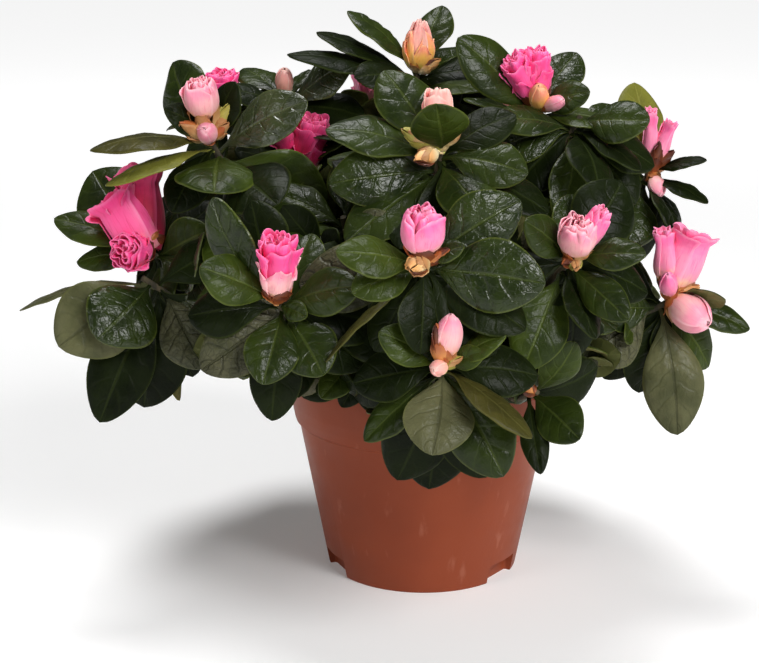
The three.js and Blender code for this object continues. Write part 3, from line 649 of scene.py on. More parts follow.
# Petals: foot, middle, edge, shade in the folds and pale rim
PETAL_LOOKS = {
    "P": ((246, 180, 100), (252, 176, 176), (251, 142, 168), (238, 94, 132), (254, 208, 210)),
    "S": ((246, 190, 108), (252, 178, 156), (251, 166, 158), (240, 122, 118), (254, 220, 206)),
    "M": ((252, 196, 160), (251, 138, 172), (250, 98, 156), (232, 58, 122), (254, 176, 202)),
    "H": ((252, 150, 160), (248, 82, 146), (248, 62, 138), (218, 24, 92), (253, 140, 188)),
    # D: its crimson edge is the flower's own colour; its darker foot and middle are painted shade
    "D": ((160, 12, 54), (190, 14, 70), (222, 46, 112), (116, 2, 34), (240, 110, 160)),
    "O": ((200, 186, 64), (252, 184, 86), (250, 146, 116), (234, 108, 40), (254, 206, 150)),
}
SCALE_LOOKS = {
    "t": ((216, 190, 134), (170, 118, 72)),
    "y": ((198, 196, 104), (154, 144, 62)),
    "b": ((150, 78, 36), (84, 36, 18)),
    "o": ((214, 150, 84), (160, 84, 40)),
    "O": ((240, 222, 176), (222, 162, 96)),
}


# Meshes from thin closed sheets

def stand(name, data):
    thing = bpy.data.objects.new(name, data)
    bpy.context.scene.collection.objects.link(thing)
    return thing


def dress(piece, node):
    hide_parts(node)


class Sheets:
    """Collects thin closed sheets and tubes, and makes one mesh of them."""

    def __init__(self):
        self.parts = []
        self.count = 0

    def put(self, points, quads, uvs, slots):
        self.parts.append((points, quads + self.count, uvs, slots))
        self.count += len(points)

    def sheet(self, under, over, uv, under_slot, over_slot):
        """Two grids of the same size, joined round a border that takes the slot of the upper one."""
        quads, marks = sheet_quads(*under.shape[:2])
        points = np.concatenate([under.reshape(-1, 3), over.reshape(-1, 3)])
        uvs = np.tile(uv.reshape(-1, 2), (2, 1))
        self.put(points, quads, uvs[quads], np.where(marks == 0, under_slot, over_slot))

    def limb(self, points, radii, sides, relief, slot=0):
        """A closed tube round a path, with flat fans of quads at its ends."""
        rings = limb_rings(points, radii, sides, relief)
        steps = len(points)
        ids = np.arange(steps * sides).reshape(steps, sides)
        here, beside = ids[:-1], np.roll(ids, -1, axis=1)[:-1]
        ahead, across = ids[1:], np.roll(ids, -1, axis=1)[1:]
        quads = np.stack([here, beside, across, ahead], axis=-1).reshape(-1, 4)
        first, last = ids[0][::-1], ids[-1]
        for ring in (first, last):
            caps = [(ring[0], ring[i], ring[i + 1], ring[i + 2]) for i in range(1, sides - 2, 2)]
            quads = np.concatenate([quads, np.array(caps)])
        around = np.tile(np.linspace(0, 1, sides), (steps, 1))
        up = np.tile(np.linspace(0, 1, steps)[:, None], (1, sides))
        uvs = np.stack([around, up], axis=-1).reshape(-1, 2)
        self.put(rings.reshape(-1, 3), quads, uvs[quads], np.full(len(quads), slot))

    def build(self, name, materials):
        points, quads, uvs, slots = (np.concatenate(rows) for rows in zip(*self.parts))
        mesh = bpy.data.meshes.new(name)
        mesh.vertices.add(len(points))
        mesh.vertices.foreach_set("co", (points * MM).astype(np.float32).ravel())
        mesh.loops.add(quads.size)
        mesh.loops.foreach_set("vertex_index", quads.astype(np.int32).ravel())
        mesh.polygons.add(len(quads))
        mesh.polygons.foreach_set("loop_start", np.arange(0, quads.size, 4, dtype=np.int32))
        mesh.polygons.foreach_set("material_index", slots.astype(np.int32))
        layer = mesh.uv_layers.new(name="UVMap")
        layer.data.foreach_set("uv", uvs.astype(np.float32).ravel())
        mesh.update(calc_edges=True)
        mesh.validate()
        mesh.shade_smooth()
        mesh.set_sharp_from_angle(angle=math.radians(SHARP_ANGLES["plant"]))
        for material in materials:
            mesh.materials.append(material)
        piece = stand(name, mesh)
        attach(piece, "root")
        return piece


@lru_cache(maxsize=None)
def sheet_quads(rows, columns):
    """Quads of a two-faced sheet, and a mark for each: 0 on its under face and 1 elsewhere."""
    shift = rows * columns
    grid = np.arange(shift).reshape(rows, columns)
    corners = [grid[:-1, :-1], grid[1:, :-1], grid[1:, 1:], grid[:-1, 1:]]
    under = np.stack(corners, axis=-1).reshape(-1, 4)
    over = under[:, [0, 3, 2, 1]] + shift
    border = np.concatenate([grid[0, :-1], grid[:-1, -1], grid[-1, :0:-1], grid[:0:-1, 0]])
    ahead = np.roll(border, -1)
    sides = np.stack([border, ahead, ahead + shift, border + shift], axis=-1)
    marks = np.repeat([0, 1], [len(under), len(over) + len(sides)])
    return np.concatenate([under, over, sides]), marks


def ring_frames(points):
    """Two directions across a path at each of its points, carried along without twist."""
    frames = []
    across = None
    for i in range(len(points)):
        ahead = points[min(i + 1, len(points) - 1)] - points[max(i - 1, 0)]
        heading = ahead.normalized()
        if across is None:
            across = heading.orthogonal().normalized()
        across = (across - heading * across.dot(heading)).normalized()
        frames.append((across, heading.cross(across)))
    return frames


def limb_rings(points, radii, sides, relief):
    """Rings round a path, with bark relief as a share of the radius."""
    rings = np.zeros((len(points), sides, 3))
    for i, (point, (first, second)) in enumerate(zip(points, ring_frames(points))):
        for j in range(sides):
            turn = 2 * math.pi * j / sides
            outward = first * math.cos(turn) + second * math.sin(turn)
            layers = [share * noise.noise(outward * a + point * b) for share, a, b in BARK_NOISE]
            rings[i, j] = point + outward * radii[i] * (1 + relief * sum(layers))
    return rings


# The plant's rule, as in the model

def view_direction(bearing, lean):
    pitch, turn, tilt = (math.radians(value) for value in (VIEW_PITCH, bearing, lean))
    upward = Vector((0, math.sin(pitch), math.cos(pitch)))
    away = Vector((0, math.cos(pitch), -math.sin(pitch)))
    level = Vector((1, 0, 0)) * math.sin(turn) + upward * math.cos(turn)
    return level * math.cos(tilt) - away * math.sin(tilt)


def shoot_axis(node):
    return ((node - CROWN_CENTRE).normalized() + UP * UPWARD_PULL).normalized()


def sideways(heading):
    return Vector((1, 0, 0)) if abs(heading.z) > STEEPEST else UP


def leaf_frame(root, heading, axis, length, roll, tone, ratio=LEAF_RATIO):
    across = axis - heading * axis.dot(heading)
    if across.length < NARROWEST:
        across = UP - heading * heading.z
    face = Quaternion(heading, math.radians(roll)) @ across.normalized()
    side = heading.cross(face).normalized()
    return {
        "root": root.copy(), "heading": heading, "face": face, "side": side,
        "length": length, "tone": tone, "ratio": ratio, "by_rule": True,
    }


def face_the_eye(leaf, axis, share):
    """Turns a leaf about its midrib until this share of its width is seen from the front."""
    pitch = math.radians(VIEW_PITCH)
    eye = Vector((0, -math.cos(pitch), math.sin(pitch)))
    heading = leaf["heading"]
    full = (eye - heading * heading.dot(eye)).normalized() * math.copysign(1, share)
    turn = math.acos(abs(share))
    faces = [Quaternion(heading, angle) @ full for angle in (turn, -turn)]
    leaf["face"] = max(faces, key=axis.dot)
    leaf["side"] = heading.cross(leaf["face"]).normalized()


def dome_share(points):
    """How far out each point is, as a share of the crown's radii."""
    return np.linalg.norm((points - np.array(CROWN_CENTRE)) / np.array(CROWN_RADII), axis=-1)


def whorl(node, axis, kind, tones, draw):
    first = axis.cross(sideways(axis)).normalized()
    start = draw(0, 360)
    leaves = []
    for i in range(kind["count"]):
        turn = start + 360 / kind["count"] * i + draw(-JITTER["turn"], JITTER["turn"])
        tilt = math.radians(kind["tilt"] + draw(-JITTER["tilt"], JITTER["tilt"]))
        outward = Quaternion(axis, math.radians(turn)) @ first
        heading = outward * math.sin(tilt) + axis * math.cos(tilt)
        heading = (heading - UP * kind["sag"]).normalized()
        length = kind["length"] * draw(JITTER["shortest"], JITTER["longest"])
        roll = draw(-JITTER["roll"], JITTER["roll"])
        ratio = LEAF_RATIO * detail.uniform(*RATIO_SPREAD)
        leaves.append(leaf_frame(node, heading, axis, length, roll, detail.choice(tones), ratio))
    return leaves


def seen_leaf(root, axis, roll, bearing, lean, length, tone, share=None, ratio=LEAF_RATIO):
    leaf = leaf_frame(root, view_direction(bearing, lean), axis, length, roll, tone, ratio)
    leaf["by_rule"] = False
    if share is not None:
        face_the_eye(leaf, axis, share)
    return leaf


def finer_leaf(node, axis, bearing, lean, length, tone="k", share=0.9, ratio=0.6):
    return seen_leaf(node - axis * MORE_DROP, axis, 0, bearing, lean, length, tone, share, ratio)


def front_shoot(spot, bud_rows, leaf_rows, finer_rows):
    node = Vector(spot)
    axis = shoot_axis(node)
    leaves = [seen_leaf(node, axis, stream.draw(-FRONT_ROLL, FRONT_ROLL), *row) for row in leaf_rows]
    buds = [
        {"kind": kind, "heading": view_direction(bearing, lean), "length": length,
         "radius": radius, "tone": tone, "foot": foot, "near": True}
        for kind, bearing, lean, length, radius, tone, foot in bud_rows
    ]
    reach = dome_share(np.array([node]))[0] - DOME_DEPTH
    return {
        "node": node, "axis": axis, "leaves": leaves, "buds": buds, "reach": reach,
        "more": [finer_leaf(node, axis, *row) for row in finer_rows],
    }


def fill_shoot(node):
    axis = shoot_axis(node)
    leaves = whorl(node, axis, YOUNG_WHORL, "gggGmmmhk", stream.draw)
    buds = []
    bud_draw = stream.draw()
    size = stream.draw(FILL_BUD["smallest"], FILL_BUD["largest"])
    if bud_draw < BUD_SHARE:
        tone = detail.choice("PSMMH")
        if node.y >= FILL_BUDS_BEHIND:
            buds.append({
                "kind": "bud" if bud_draw < BUD_SHARE / 2 else "ruffle", "heading": axis,
                "length": FILL_BUD["length"] * size, "radius": FILL_BUD["radius"] * size,
                "tone": tone, "foot": FILL_BUD["foot"], "near": False,
            })
    reach = DOME_REACH["front" if node.y < CROWN_CENTRE.y else "back"]
    return {"node": node, "axis": axis, "leaves": leaves, "buds": buds, "reach": reach, "more": []}


def fill_nodes(taken):
    nodes = []
    golden = math.pi * (3 - math.sqrt(5))
    for i in range(FILL_SHOOTS):
        height = FILL_HIGHEST + (FILL_LOWEST - FILL_HIGHEST) * (i + 0.5) / FILL_SHOOTS
        ring = math.sqrt(1 - height * height)
        turn = golden * i
        inset = FILL_INSET if math.sin(turn) < FILL_FRONT else 1
        spot = Vector((
            math.cos(turn) * ring * CROWN_RADII[0],
            math.sin(turn) * ring * CROWN_RADII[1],
            height * CROWN_RADII[2],
        )) * inset + CROWN_CENTRE
        if all((other - spot).length >= FILL_SPACING for other in taken + nodes):
            nodes.append(spot)
    return nodes


def spread_roots(shoot, old_leaves):
    young = sorted(shoot["leaves"], key=lambda leaf: -leaf["heading"].dot(shoot["axis"]))
    for place, leaf in enumerate(young + old_leaves):
        leaf["root"] -= shoot["axis"] * LEAF_STEP * place
    shoot["leaves"] += old_leaves
    shoot["lower"] = shoot["node"] - shoot["axis"] * LEAF_STEP * (len(shoot["leaves"]) + 1)


def grow_shoots():
    shoots = [front_shoot(*row) for row in FRONT_SHOOTS]
    shoots += [fill_shoot(node) for node in fill_nodes([shoot["node"] for shoot in shoots])]
    for shoot in shoots:
        spread_roots(shoot, whorl(shoot["node"], shoot["axis"], OLD_WHORL, "ddkkkm", stream.draw))
    return shoots


def nearest_mass(point):
    return min(MASSES, key=lambda name: (Vector(MASSES[name][0]) - point).length)


def bezier(start, bend, end, steps):
    shares = [i / steps for i in range(steps + 1)]
    return [start * (1 - t) ** 2 + bend * (2 * t * (1 - t)) + end * t ** 2 for t in shares]


def catmull(points, steps):
    """A smooth path through the points."""
    held = [points[0] * 2 - points[1], *points, points[-1] * 2 - points[-2]]
    spots = []
    for i in range(1, len(held) - 2):
        before, start, end, after = held[i - 1:i + 3]
        for j in range(steps):
            t = j / steps
            spots.append((
                start * 2 + (end - before) * t
                + (before * 2 - start * 5 + end * 4 - after) * t * t
                + (start * 3 - before - end * 3 + after) * t ** 3
            ) * 0.5)
    spots.append(points[-1].copy())
    return spots


def trunk_point(height):
    return TRUNK_FOOT.lerp(TRUNK_TOP, (height - SOIL_TOP) / (TRUNK_TOP.z - SOIL_TOP))


def bough_path(name):
    middle, tier = Vector(MASSES[name][0]), MASSES[name][1]
    start = trunk_point(TRUNK_TOP.z if tier == "top" else TIER_HEIGHTS[tier])
    end = start.lerp(middle, BOUGH_REACH)
    hub = start.lerp(middle, HUB_REACH)
    bend = start.lerp(end, 0.5) + UP * (0 if tier == "top" else BOUGH_LIFT)
    return {"start": start, "bend": bend, "end": end, "hub": hub}


def stem_path(path):
    heading = (path["end"] - path["bend"]).normalized()
    bend = path["end"] + heading * (path["hub"] - path["end"]).length / 2
    return bezier(path["end"], bend, path["hub"], LIMB_GRIDS["stem"][0])


# Leaves

def leaf_half_width(share):
    """Half the blade's width at a share of the length, from 0 to 1: broadest past its middle."""
    blade = np.clip((share - STALK_SHARE) / (1 - STALK_SHARE), 0, 1)
    power = OUTLINE["power"] - OUTLINE["fuller_at_tip"] * blade
    return np.sin(np.pi * np.clip(blade, 1e-6, 1 - 1e-6) ** OUTLINE["shift"]) ** power


def pot_is_clear(points):
    low = points[points[:, 2] < RIM_HEIGHT + POT_GAP["above"]]
    if len(low) == 0:
        return True
    away = np.hypot(low[:, 0], low[:, 1]).min()
    return away > RIM_RADIUS + POT_GAP["beside"] and low[:, 2].min() > POT_GAP["lowest"]


def in_the_dome(points, reach):
    hanging = points[:, 2] - HANG_LOWEST - HANG_SLOPE * (np.abs(points[:, 0]) - points[:, 1])
    return dome_share(points).max() < reach and hanging.min() > 0


def leaf_relief(leaf, half, t, v, width):
    """Height of the blade above its chord: arch, fold, curl, waves, swellings and midrib."""
    form = {key: detail.uniform(*span) for key, span in LEAF_DRAWS.items()}
    pucker = detail.uniform(*PUCKER["puckered" if leaf["tone"] in PUCKERED_TONES else "plain"])
    wobble = [detail.uniform(0, 6.3) for _ in range(4)]
    open_share = np.clip(width / half, 0, 1)
    curl = form["fold"] + form["curl"]
    wave = np.sin(2 * math.pi * EDGE_WAVES * t + form["phase"] + (v > 0) * 1.7)
    veins = t * LEAF_VEINS - VEIN_SWEEP * np.abs(v) ** VEIN_POWER + 0.5 * (v < 0)
    swell = np.sin(np.pi * (veins % 1)) * np.abs(v) * (1 - v ** 2) * SWELL_REACH
    coarse = BUMPS_MM["coarse"] * np.sin(17 * t + 4 * v + wobble[0]) * np.sin(5 * v - 9 * t + wobble[1])
    fine = BUMPS_MM["fine"] * np.sin(31 * t - 3 * v + wobble[2]) * np.sin(9 * v + wobble[3])
    bent = form["fold"] * np.abs(v) - curl * v ** 2 + form["wave"] * wave * v ** 2
    height = leaf["length"] * LEAF_ARCH * form["arch"] * 4 * t * (1 - t)
    height += open_share * (half * bent + pucker * swell + coarse + fine)
    groove = np.exp(-((v * width / MIDRIB_MM["groove_width"]) ** 2)) * np.clip(open_share * 2, 0, 1)
    return form, height - MIDRIB_MM["groove"] * groove


def put_leaf(sheets, leaf, reach, rows, columns):
    """One leaf: a thin closed blade with a groove at the midrib, swollen between its veins."""
    length = leaf["length"]
    half = length * leaf["ratio"] / 2
    row = np.linspace(0, 1, rows)
    along = EVEN_ROWS * row + (1 - EVEN_ROWS) * (1 - np.cos(np.pi * row)) / 2
    across = np.linspace(-1, 1, columns)
    across = np.sign(across) * np.abs(across) ** COLUMN_POWER
    t, v = np.meshgrid(along, across, indexing="ij")
    width = np.maximum(leaf_half_width(t) * half, STALK_HALF_MM * (1 - t) + TIP_HALF_MM)
    form, height = leaf_relief(leaf, half, t, v, width)
    side = v * width + length * form["sickle"] * 4 * t * (1 - t)
    turn = math.radians(form["twist"]) * (t - TWIST_CENTRE)
    aside = side * np.cos(turn) - height * np.sin(turn) * TWIST_SHIFT
    spot = np.stack([length * t, aside, height + side * np.sin(turn)], axis=-1)
    thick = BLADE_MM + (STALK_MM - BLADE_MM) * np.exp(-((t / STALK_SHARE) ** 2))
    thick += MIDRIB_MM["keel"] * np.exp(-((v * width / MIDRIB_MM["keel_width"]) ** 2)) * (1 - t)
    below = spot.copy()
    below[..., 2] -= thick
    axes = np.array([leaf["heading"], leaf["side"], leaf["face"]])
    top, bottom = spot @ axes + leaf["root"], below @ axes + leaf["root"]
    outline = top.reshape(-1, 3)
    if not pot_is_clear(outline) or (leaf["by_rule"] and not in_the_dome(outline, reach)):
        return False
    under = len(LEAF_TONES) + (leaf["tone"] in OLIVE_TONES)
    sheets.sheet(bottom, top, np.stack([v / 2 + 0.5, t], axis=-1), under, LEAF_TONES.index(leaf["tone"]))
    return True


def put_fitting_leaf(sheets, leaf, reach, rows, columns):
    """The leaf at its full length, or shorter where it would leave the dome or touch the pot."""
    lengths = [leaf["length"] * share for share in SHORTENED]
    return any(put_leaf(sheets, {**leaf, "length": length}, reach, rows, columns) for length in lengths)


# Buds and flowers, as whorls of petals on a turned profile.
# A profile gives shares of the length and of the radius. A whorl gives its number of petals, and
# their reach, size, half span in degrees, share of that at the tip, twist in degrees, ruffle, folds,
# roll of the edge and drop of the corners. The first outer whorls take the bud's second tone.
PETAL_MM = 0.45
PETAL_REACH = (0.93, 1.0)
PETAL_LAP = 0.07
PETAL_CREASE = 0.02
ROLLED_PART = 0.2
BUD_FORMS = {
    "bud": {
        "profile": ((0, 0.36), (0.2, 0.8), (0.44, 1), (0.68, 0.9), (0.88, 0.54), (1, 0.05)),
        "whorls": (
            (3, 1, 1, 78, 0.9, 26, 0, 1, 0, 0.06),
            (3, 1, 0.88, 74, 0.9, 48, 0, 1, 0, 0.06),
            (3, 0.98, 0.6, 74, 0.8, 80, 0.04, 1, 0, 0.08),
        ),
    },
    "flame": {
        "profile": ((0, 0.5), (0.18, 0.88), (0.38, 1), (0.62, 0.84), (0.82, 0.56), (1, 0.2)),
        "outer": 2,
        "whorls": (
            (4, 0.6, 1.06, 44, 0.4, 12, 0.05, 1, 0, 0.3),
            (4, 0.8, 1, 46, 0.5, 16, 0.08, 1.4, 0, 0.24),
            (3, 1, 0.88, 62, 0.6, 26, 0.12, 1.6, 0, 0.2),
            (3, 1, 0.5, 74, 0.7, 40, 0.1, 1, 0, 0.08),
        ),
    },
    "open": {
        "profile": ((0, 0.42), (0.2, 0.84), (0.45, 1), (0.7, 0.93), (0.88, 0.74), (1, 0.52)),
        "whorls": (
            (3, 0.9, 1.04, 66, 0.86, 14, 0.08, 1.3, 0.04, 0.16),
            (3, 1, 0.93, 66, 0.86, 24, 0.11, 1.6, 0.05, 0.12),
            (3, 1, 0.66, 72, 0.9, 40, 0.13, 1.8, 0, 0.08),
            (2, 0.98, 0.34, 95, 0.9, 60, 0.1, 1.8, 0, 0.08),
        ),
    },
    "ruffle": {
        "profile": ((0, 0.42), (0.2, 0.8), (0.45, 0.97), (0.7, 1), (0.88, 0.95), (1, 0.78)),
        "outer": 1,
        "whorls": (
            (4, 0.58, 1.04, 56, 0.7, 20, 0.13, 1.7, 0.09, 0.3),
            (3, 0.86, 0.98, 68, 1, 20, 0.13, 1.7, 0.14, 0.08),
            (3, 0.98, 0.84, 72, 1, 26, 0.15, 1.9, 0.12, 0.08),
            (3, 1, 0.6, 76, 1, 34, 0.16, 2, 0.1, 0.08),
            (2, 0.97, 0.32, 100, 1, 50, 0.14, 2, 0.06, 0.08),
        ),
    },
    "tube": {
        "profile": ((0, 0.6), (0.15, 0.96), (0.32, 1), (0.55, 0.82), (0.8, 0.64), (1, 0.74)),
        "whorls": (
            (3, 0.97, 1, 76, 1, 24, 0.07, 1.5, 0.1, 0.08),
            (3, 1, 0.78, 74, 1, 34, 0.1, 1.8, 0.06, 0.08),
            (2, 0.98, 0.42, 95, 1, 50, 0.1, 1.8, 0, 0.08),
        ),
    },
    "bloom": {
        "profile": ((0, 0.6), (0.2, 0.92), (0.45, 1), (0.7, 0.94), (0.88, 0.98), (1, 1.1)),
        "whorls": (
            (3, 0.98, 1, 74, 1, 18, 0.11, 1.4, 0.28, 0.08),
            (3, 1, 0.82, 74, 1, 26, 0.13, 1.7, 0.16, 0.08),
            (3, 0.95, 0.54, 76, 1, 36, 0.14, 1.8, 0.1, 0.08),
            (2, 0.9, 0.28, 100, 1, 50, 0.12, 1.8, 0, 0.08),
        ),
    },
    "scale": {
        "profile": ((0, 0.5), (0.2, 0.92), (0.4, 1), (0.65, 0.78), (0.85, 0.44), (1, 0.12)),
        "whorls": (
            (3, 0.6, 1.06, 60, 0.5, 8, 0.06, 1, 0, 0.08),
            (3, 0.82, 0.96, 62, 0.5, 10, 0.06, 1, 0, 0.08),
            (3, 1, 0.84, 72, 0.6, 14, 0, 1, 0, 0.08),
        ),
    },
    "cup": {
        "profile": ((0, 0.3), (0.25, 0.62), (0.5, 0.88), (0.75, 1), (1, 1.02)),
        "whorls": (
            (4, 0.68, 1.05, 46, 0.5, 6, 0.05, 1, 0, 0.08),
            (4, 1, 0.99, 50, 0.45, 8, 0.05, 1, 0, 0.08),
        ),
    },
}

# The cup of scales round a flower's foot, as shares of the flower's own length and radius
CUP = {"reach": 0.3, "longest": 6, "radius": 0.88}
CUP_TONES = {"P": "oot", "S": "toy", "M": "oob", "H": "obb", "D": "bb", "O": "yyo"}
SCALE_TONE_MIXES = {"t": "tto", "y": "yyt", "b": "bbo", "O": "OOtb"}
PEDICEL = {"radius": 1.2, "sides": 8, "sunk": 0.6}
SMALL_BUD = 17
PETAL_GRIDS = {"near": (11, 21), "small": (9, 11), "far": (9, 9), "scale": (8, 6)}
PETAL_TONES = tuple(PETAL_LOOKS)
SCALE_TONES = tuple(SCALE_LOOKS)


def turned_radius(profile, share):
    shares, radii = zip(*profile)
    return np.polyval(np.polyfit(shares, radii, 4), share)


def put_petal(sheets, bud, axes, profile, whorl, start, slot, rows, columns):
    """One petal: a thin closed strip of the turned profile, with its own edge, laps and ruffles."""
    forward, first, second, origin = axes
    length, radius = bud["length"], bud["radius"]
    _, reach, size, half_span, tip, twist, ruffle, folds, roll, corner = whorl
    ends = petal_dice.uniform(*PETAL_REACH) * reach
    phase, finer_phase, crease_phase = (petal_dice.uniform(0, 6.3) for _ in range(3))
    share, v = np.meshgrid(np.linspace(0, 1, rows), np.linspace(-1, 1, columns), indexing="ij")
    span = math.radians(half_span) * (1 - (1 - tip) * share ** 3)
    angle = start + span * v + math.radians(twist) * share
    rise = share * ends * (1 - corner * v ** 4 * share ** 2)
    folded = np.sin(folds * math.pi * v + phase)
    finer = np.sin(1.6 * folds * math.pi * v + finer_phase)
    creased = np.sin(4.5 * v + 6 * share + crease_phase)
    uneven = np.sin(1.4 * folds * math.pi * v + finer_phase)
    out = turned_radius(profile, rise) * size
    out += PETAL_LAP * v * (0.3 + share)
    out += ruffle * share ** 2 * folded
    out += 0.4 * ruffle * share ** 3 * finer
    out += (PETAL_CREASE + 0.4 * ruffle) * share * creased
    rise = rise + 0.2 * ruffle * share ** 4 * uneven
    rolled = np.clip((share - (1 - ROLLED_PART)) / ROLLED_PART, 0, 1)
    out += roll * np.sin(rolled * math.pi * 0.6)
    rise -= 0.5 * roll * radius / length * rolled ** 2
    out = np.maximum(out, 0.05) * radius
    outward = np.cos(angle)[..., None] * np.array(first) + np.sin(angle)[..., None] * np.array(second)
    spine = np.array(origin) + (rise * length)[..., None] * np.array(forward)
    outer = spine + outward * out[..., None]
    inner = spine + outward * np.maximum(out - PETAL_MM, 0.04)[..., None]
    sheets.sheet(inner, outer, np.stack([v / 2 + 0.5, share], axis=-1), slot, slot)


def put_whorls(sheets, bud, axes, slots, grid):
    """The petals of a form, each in one of the slots. The outer whorls take the last slot."""
    form = BUD_FORMS[bud["kind"]]
    for i, whorl in enumerate(form["whorls"]):
        begin = petal_dice.uniform(0, 6.3)
        for j in range(whorl[0]):
            start = begin + 2 * math.pi * j / whorl[0]
            slot = slots[-1] if i < form.get("outer", 0) else petal_dice.choice(slots[:-1])
            put_petal(sheets, bud, axes, form["profile"], whorl, start, slot, *grid)


def scale_slots(tones):
    slots = [len(PETAL_TONES) + SCALE_TONES.index(tone) for tone in tones]
    return slots + slots[-1:]


def put_bud(sheets, node, bud):
    """A bud or flower on its own short stalk, with a cup of scales round its foot."""
    forward = bud["heading"].normalized()
    first = forward.orthogonal().normalized()
    second = forward.cross(first)
    start = node - forward * PEDICEL["sunk"]
    base = start + forward * bud["foot"]
    tone, axes = bud["tone"][0], (forward, first, second, base)
    if bud["kind"] == "scale":
        cup_slots = scale_slots(SCALE_TONE_MIXES[tone])
        put_whorls(sheets, bud, axes, cup_slots, PETAL_GRIDS["scale"])
    else:
        size = "near" if bud["length"] > SMALL_BUD else "small"
        slots = [PETAL_TONES.index(tone), PETAL_TONES.index(bud["tone"][-1])]
        put_whorls(sheets, bud, axes, slots, PETAL_GRIDS[size if bud["near"] else "far"])
        cup_slots = scale_slots(CUP_TONES[tone])
        cup_length = bud["foot"] + min(CUP["reach"] * bud["length"], CUP["longest"])
        cup = {"kind": "cup", "length": cup_length, "radius": bud["radius"] * CUP["radius"]}
        put_whorls(sheets, cup, (forward, first, second, start), cup_slots, PETAL_GRIDS["scale"])
    stalk = [start - forward, base, base + forward * 2]
    radii = [PEDICEL["radius"]] * len(stalk)
    sheets.limb(stalk, radii, PEDICEL["sides"], 0, cup_slots[0])


# Twigs, boughs and masses

def side_shoots(path):
    """Short side shoots on a twig, each with its own whorl of smaller leaves, mostly of the dark tone k
    that paints the shade inside the crown.
    """
    grown = []
    for _ in range(SIDE_SHOOTS):
        place = detail.randrange(len(path) // 3, len(path) - 2)
        along = (path[place + 1] - path[place]).normalized()
        turn = Quaternion(along, detail.uniform(0, 2 * math.pi))
        outward = turn @ along.orthogonal().normalized()
        heading = (outward + along * SIDE_LEAN["along"] + UP * SIDE_LEAN["up"]).normalized()
        tip = path[place] + heading * detail.uniform(*SIDE_REACH)
        leaves = whorl(tip, heading, SIDE_WHORL, "kkkkmd", detail.uniform)
        grown.append({"start": path[place], "heading": heading, "tip": tip, "leaves": leaves})
    return grown


def grow_shoot(shoot, hub, root, leaves, twigs, buds):
    """A shoot with its twig, side shoots and lower whorls. Without enough leaves it isn't grown."""
    near = shoot["node"].y < 0 or shoot["node"].z > NEAR_HEIGHT
    grid = LEAF_GRIDS["near" if near else "middle"]
    fitting = [put_fitting_leaf(leaves, leaf, shoot["reach"], *grid) for leaf in shoot["leaves"]]
    if sum(fitting) < FEWEST_LEAVES:
        return
    for leaf in shoot["more"]:
        put_fitting_leaf(leaves, leaf, shoot["reach"], *LEAF_GRIDS["middle"])
    bend = hub.lerp(shoot["lower"], TWIG_BEND) - UP * TWIG_SAG
    steps, sides = LIMB_GRIDS["twig"]
    path = catmull([root, bend, shoot["lower"], shoot["node"] + shoot["axis"] * TWIG_TIP], steps)
    radii = np.linspace(TWIG_RADIUS["hub"], TWIG_RADIUS["shoot"], len(path))
    twigs.limb(path, radii, sides, TWIG_RELIEF)
    for bud in shoot["buds"]:
        put_bud(buds, shoot["node"], bud)
    reach = min(shoot["reach"], DOME_REACH["front"])
    for share in LOW_WHORLS:
        spot = path[round(share * (len(path) - 1))]
        for leaf in whorl(spot, shoot["axis"], LOW_WHORL, "kkkm", detail.uniform):
            put_fitting_leaf(leaves, leaf, reach, *LEAF_GRIDS["far"])
    steps, sides = LIMB_GRIDS["side"]
    for side in side_shoots(path):
        fitting = [put_fitting_leaf(leaves, leaf, reach, *LEAF_GRIDS["far"]) for leaf in side["leaves"]]
        if any(fitting):
            middle = side["start"].lerp(side["tip"], 0.5) - UP
            twig = bezier(side["start"], middle, side["tip"] + side["heading"] * 2, steps)
            twigs.limb(twig, np.linspace(*SIDE_RADII, len(twig)), sides, TWIG_RELIEF)


def grow_mass(name, shoots, looks):
    leaves, twigs, buds = Sheets(), Sheets(), Sheets()
    stem = stem_path(bough_path(name))
    radii = np.linspace(BOUGH_RADIUS["end"], TWIG_RADIUS["hub"], len(stem))
    twigs.limb(stem, radii, LIMB_GRIDS["stem"][1], TWIG_RELIEF)
    root = stem[round(TWIG_ROOT * (len(stem) - 1))]
    for shoot in shoots:
        grow_shoot(shoot, stem[-1], root, leaves, twigs, buds)
    kinds = (("foliage", leaves, "foliage"), ("twigs", twigs, "bark"), ("buds", buds, "foliage"))
    for kind, sheets, slot in kinds:
        if sheets.count:
            dress(sheets.build(f"{kind}_{name}", looks[kind]), f"leaves_{name}")


def build_limb(name, points, radii, sides, material):
    sheets = Sheets()
    sheets.limb(points, radii, sides, BARK_RELIEF)
    dress(sheets.build(f"bark_{name}", [material]), name)


def build_limbs(material):
    steps, sides = LIMB_GRIDS["trunk"]
    points = [TRUNK_FOOT.lerp(TRUNK_TOP, i / steps) for i in range(steps + 1)]
    stem = np.linspace(TRUNK_RADIUS["stem"], TRUNK_RADIUS["top"], steps + 1)
    flare = np.exp(-np.linspace(0, TRUNK_FLARE, steps + 1)) * (TRUNK_RADIUS["foot"] - TRUNK_RADIUS["stem"])
    build_limb("trunk", points, stem + flare, sides, material)
    steps, sides = LIMB_GRIDS["bough"]
    for name in MASSES:
        path = bough_path(name)
        points = bezier(path["start"], path["bend"], path["end"], steps)
        radii = np.linspace(BOUGH_RADIUS["start"], BOUGH_RADIUS["end"], len(points))
        build_limb(f"bough_{name}", points, radii, sides, material)


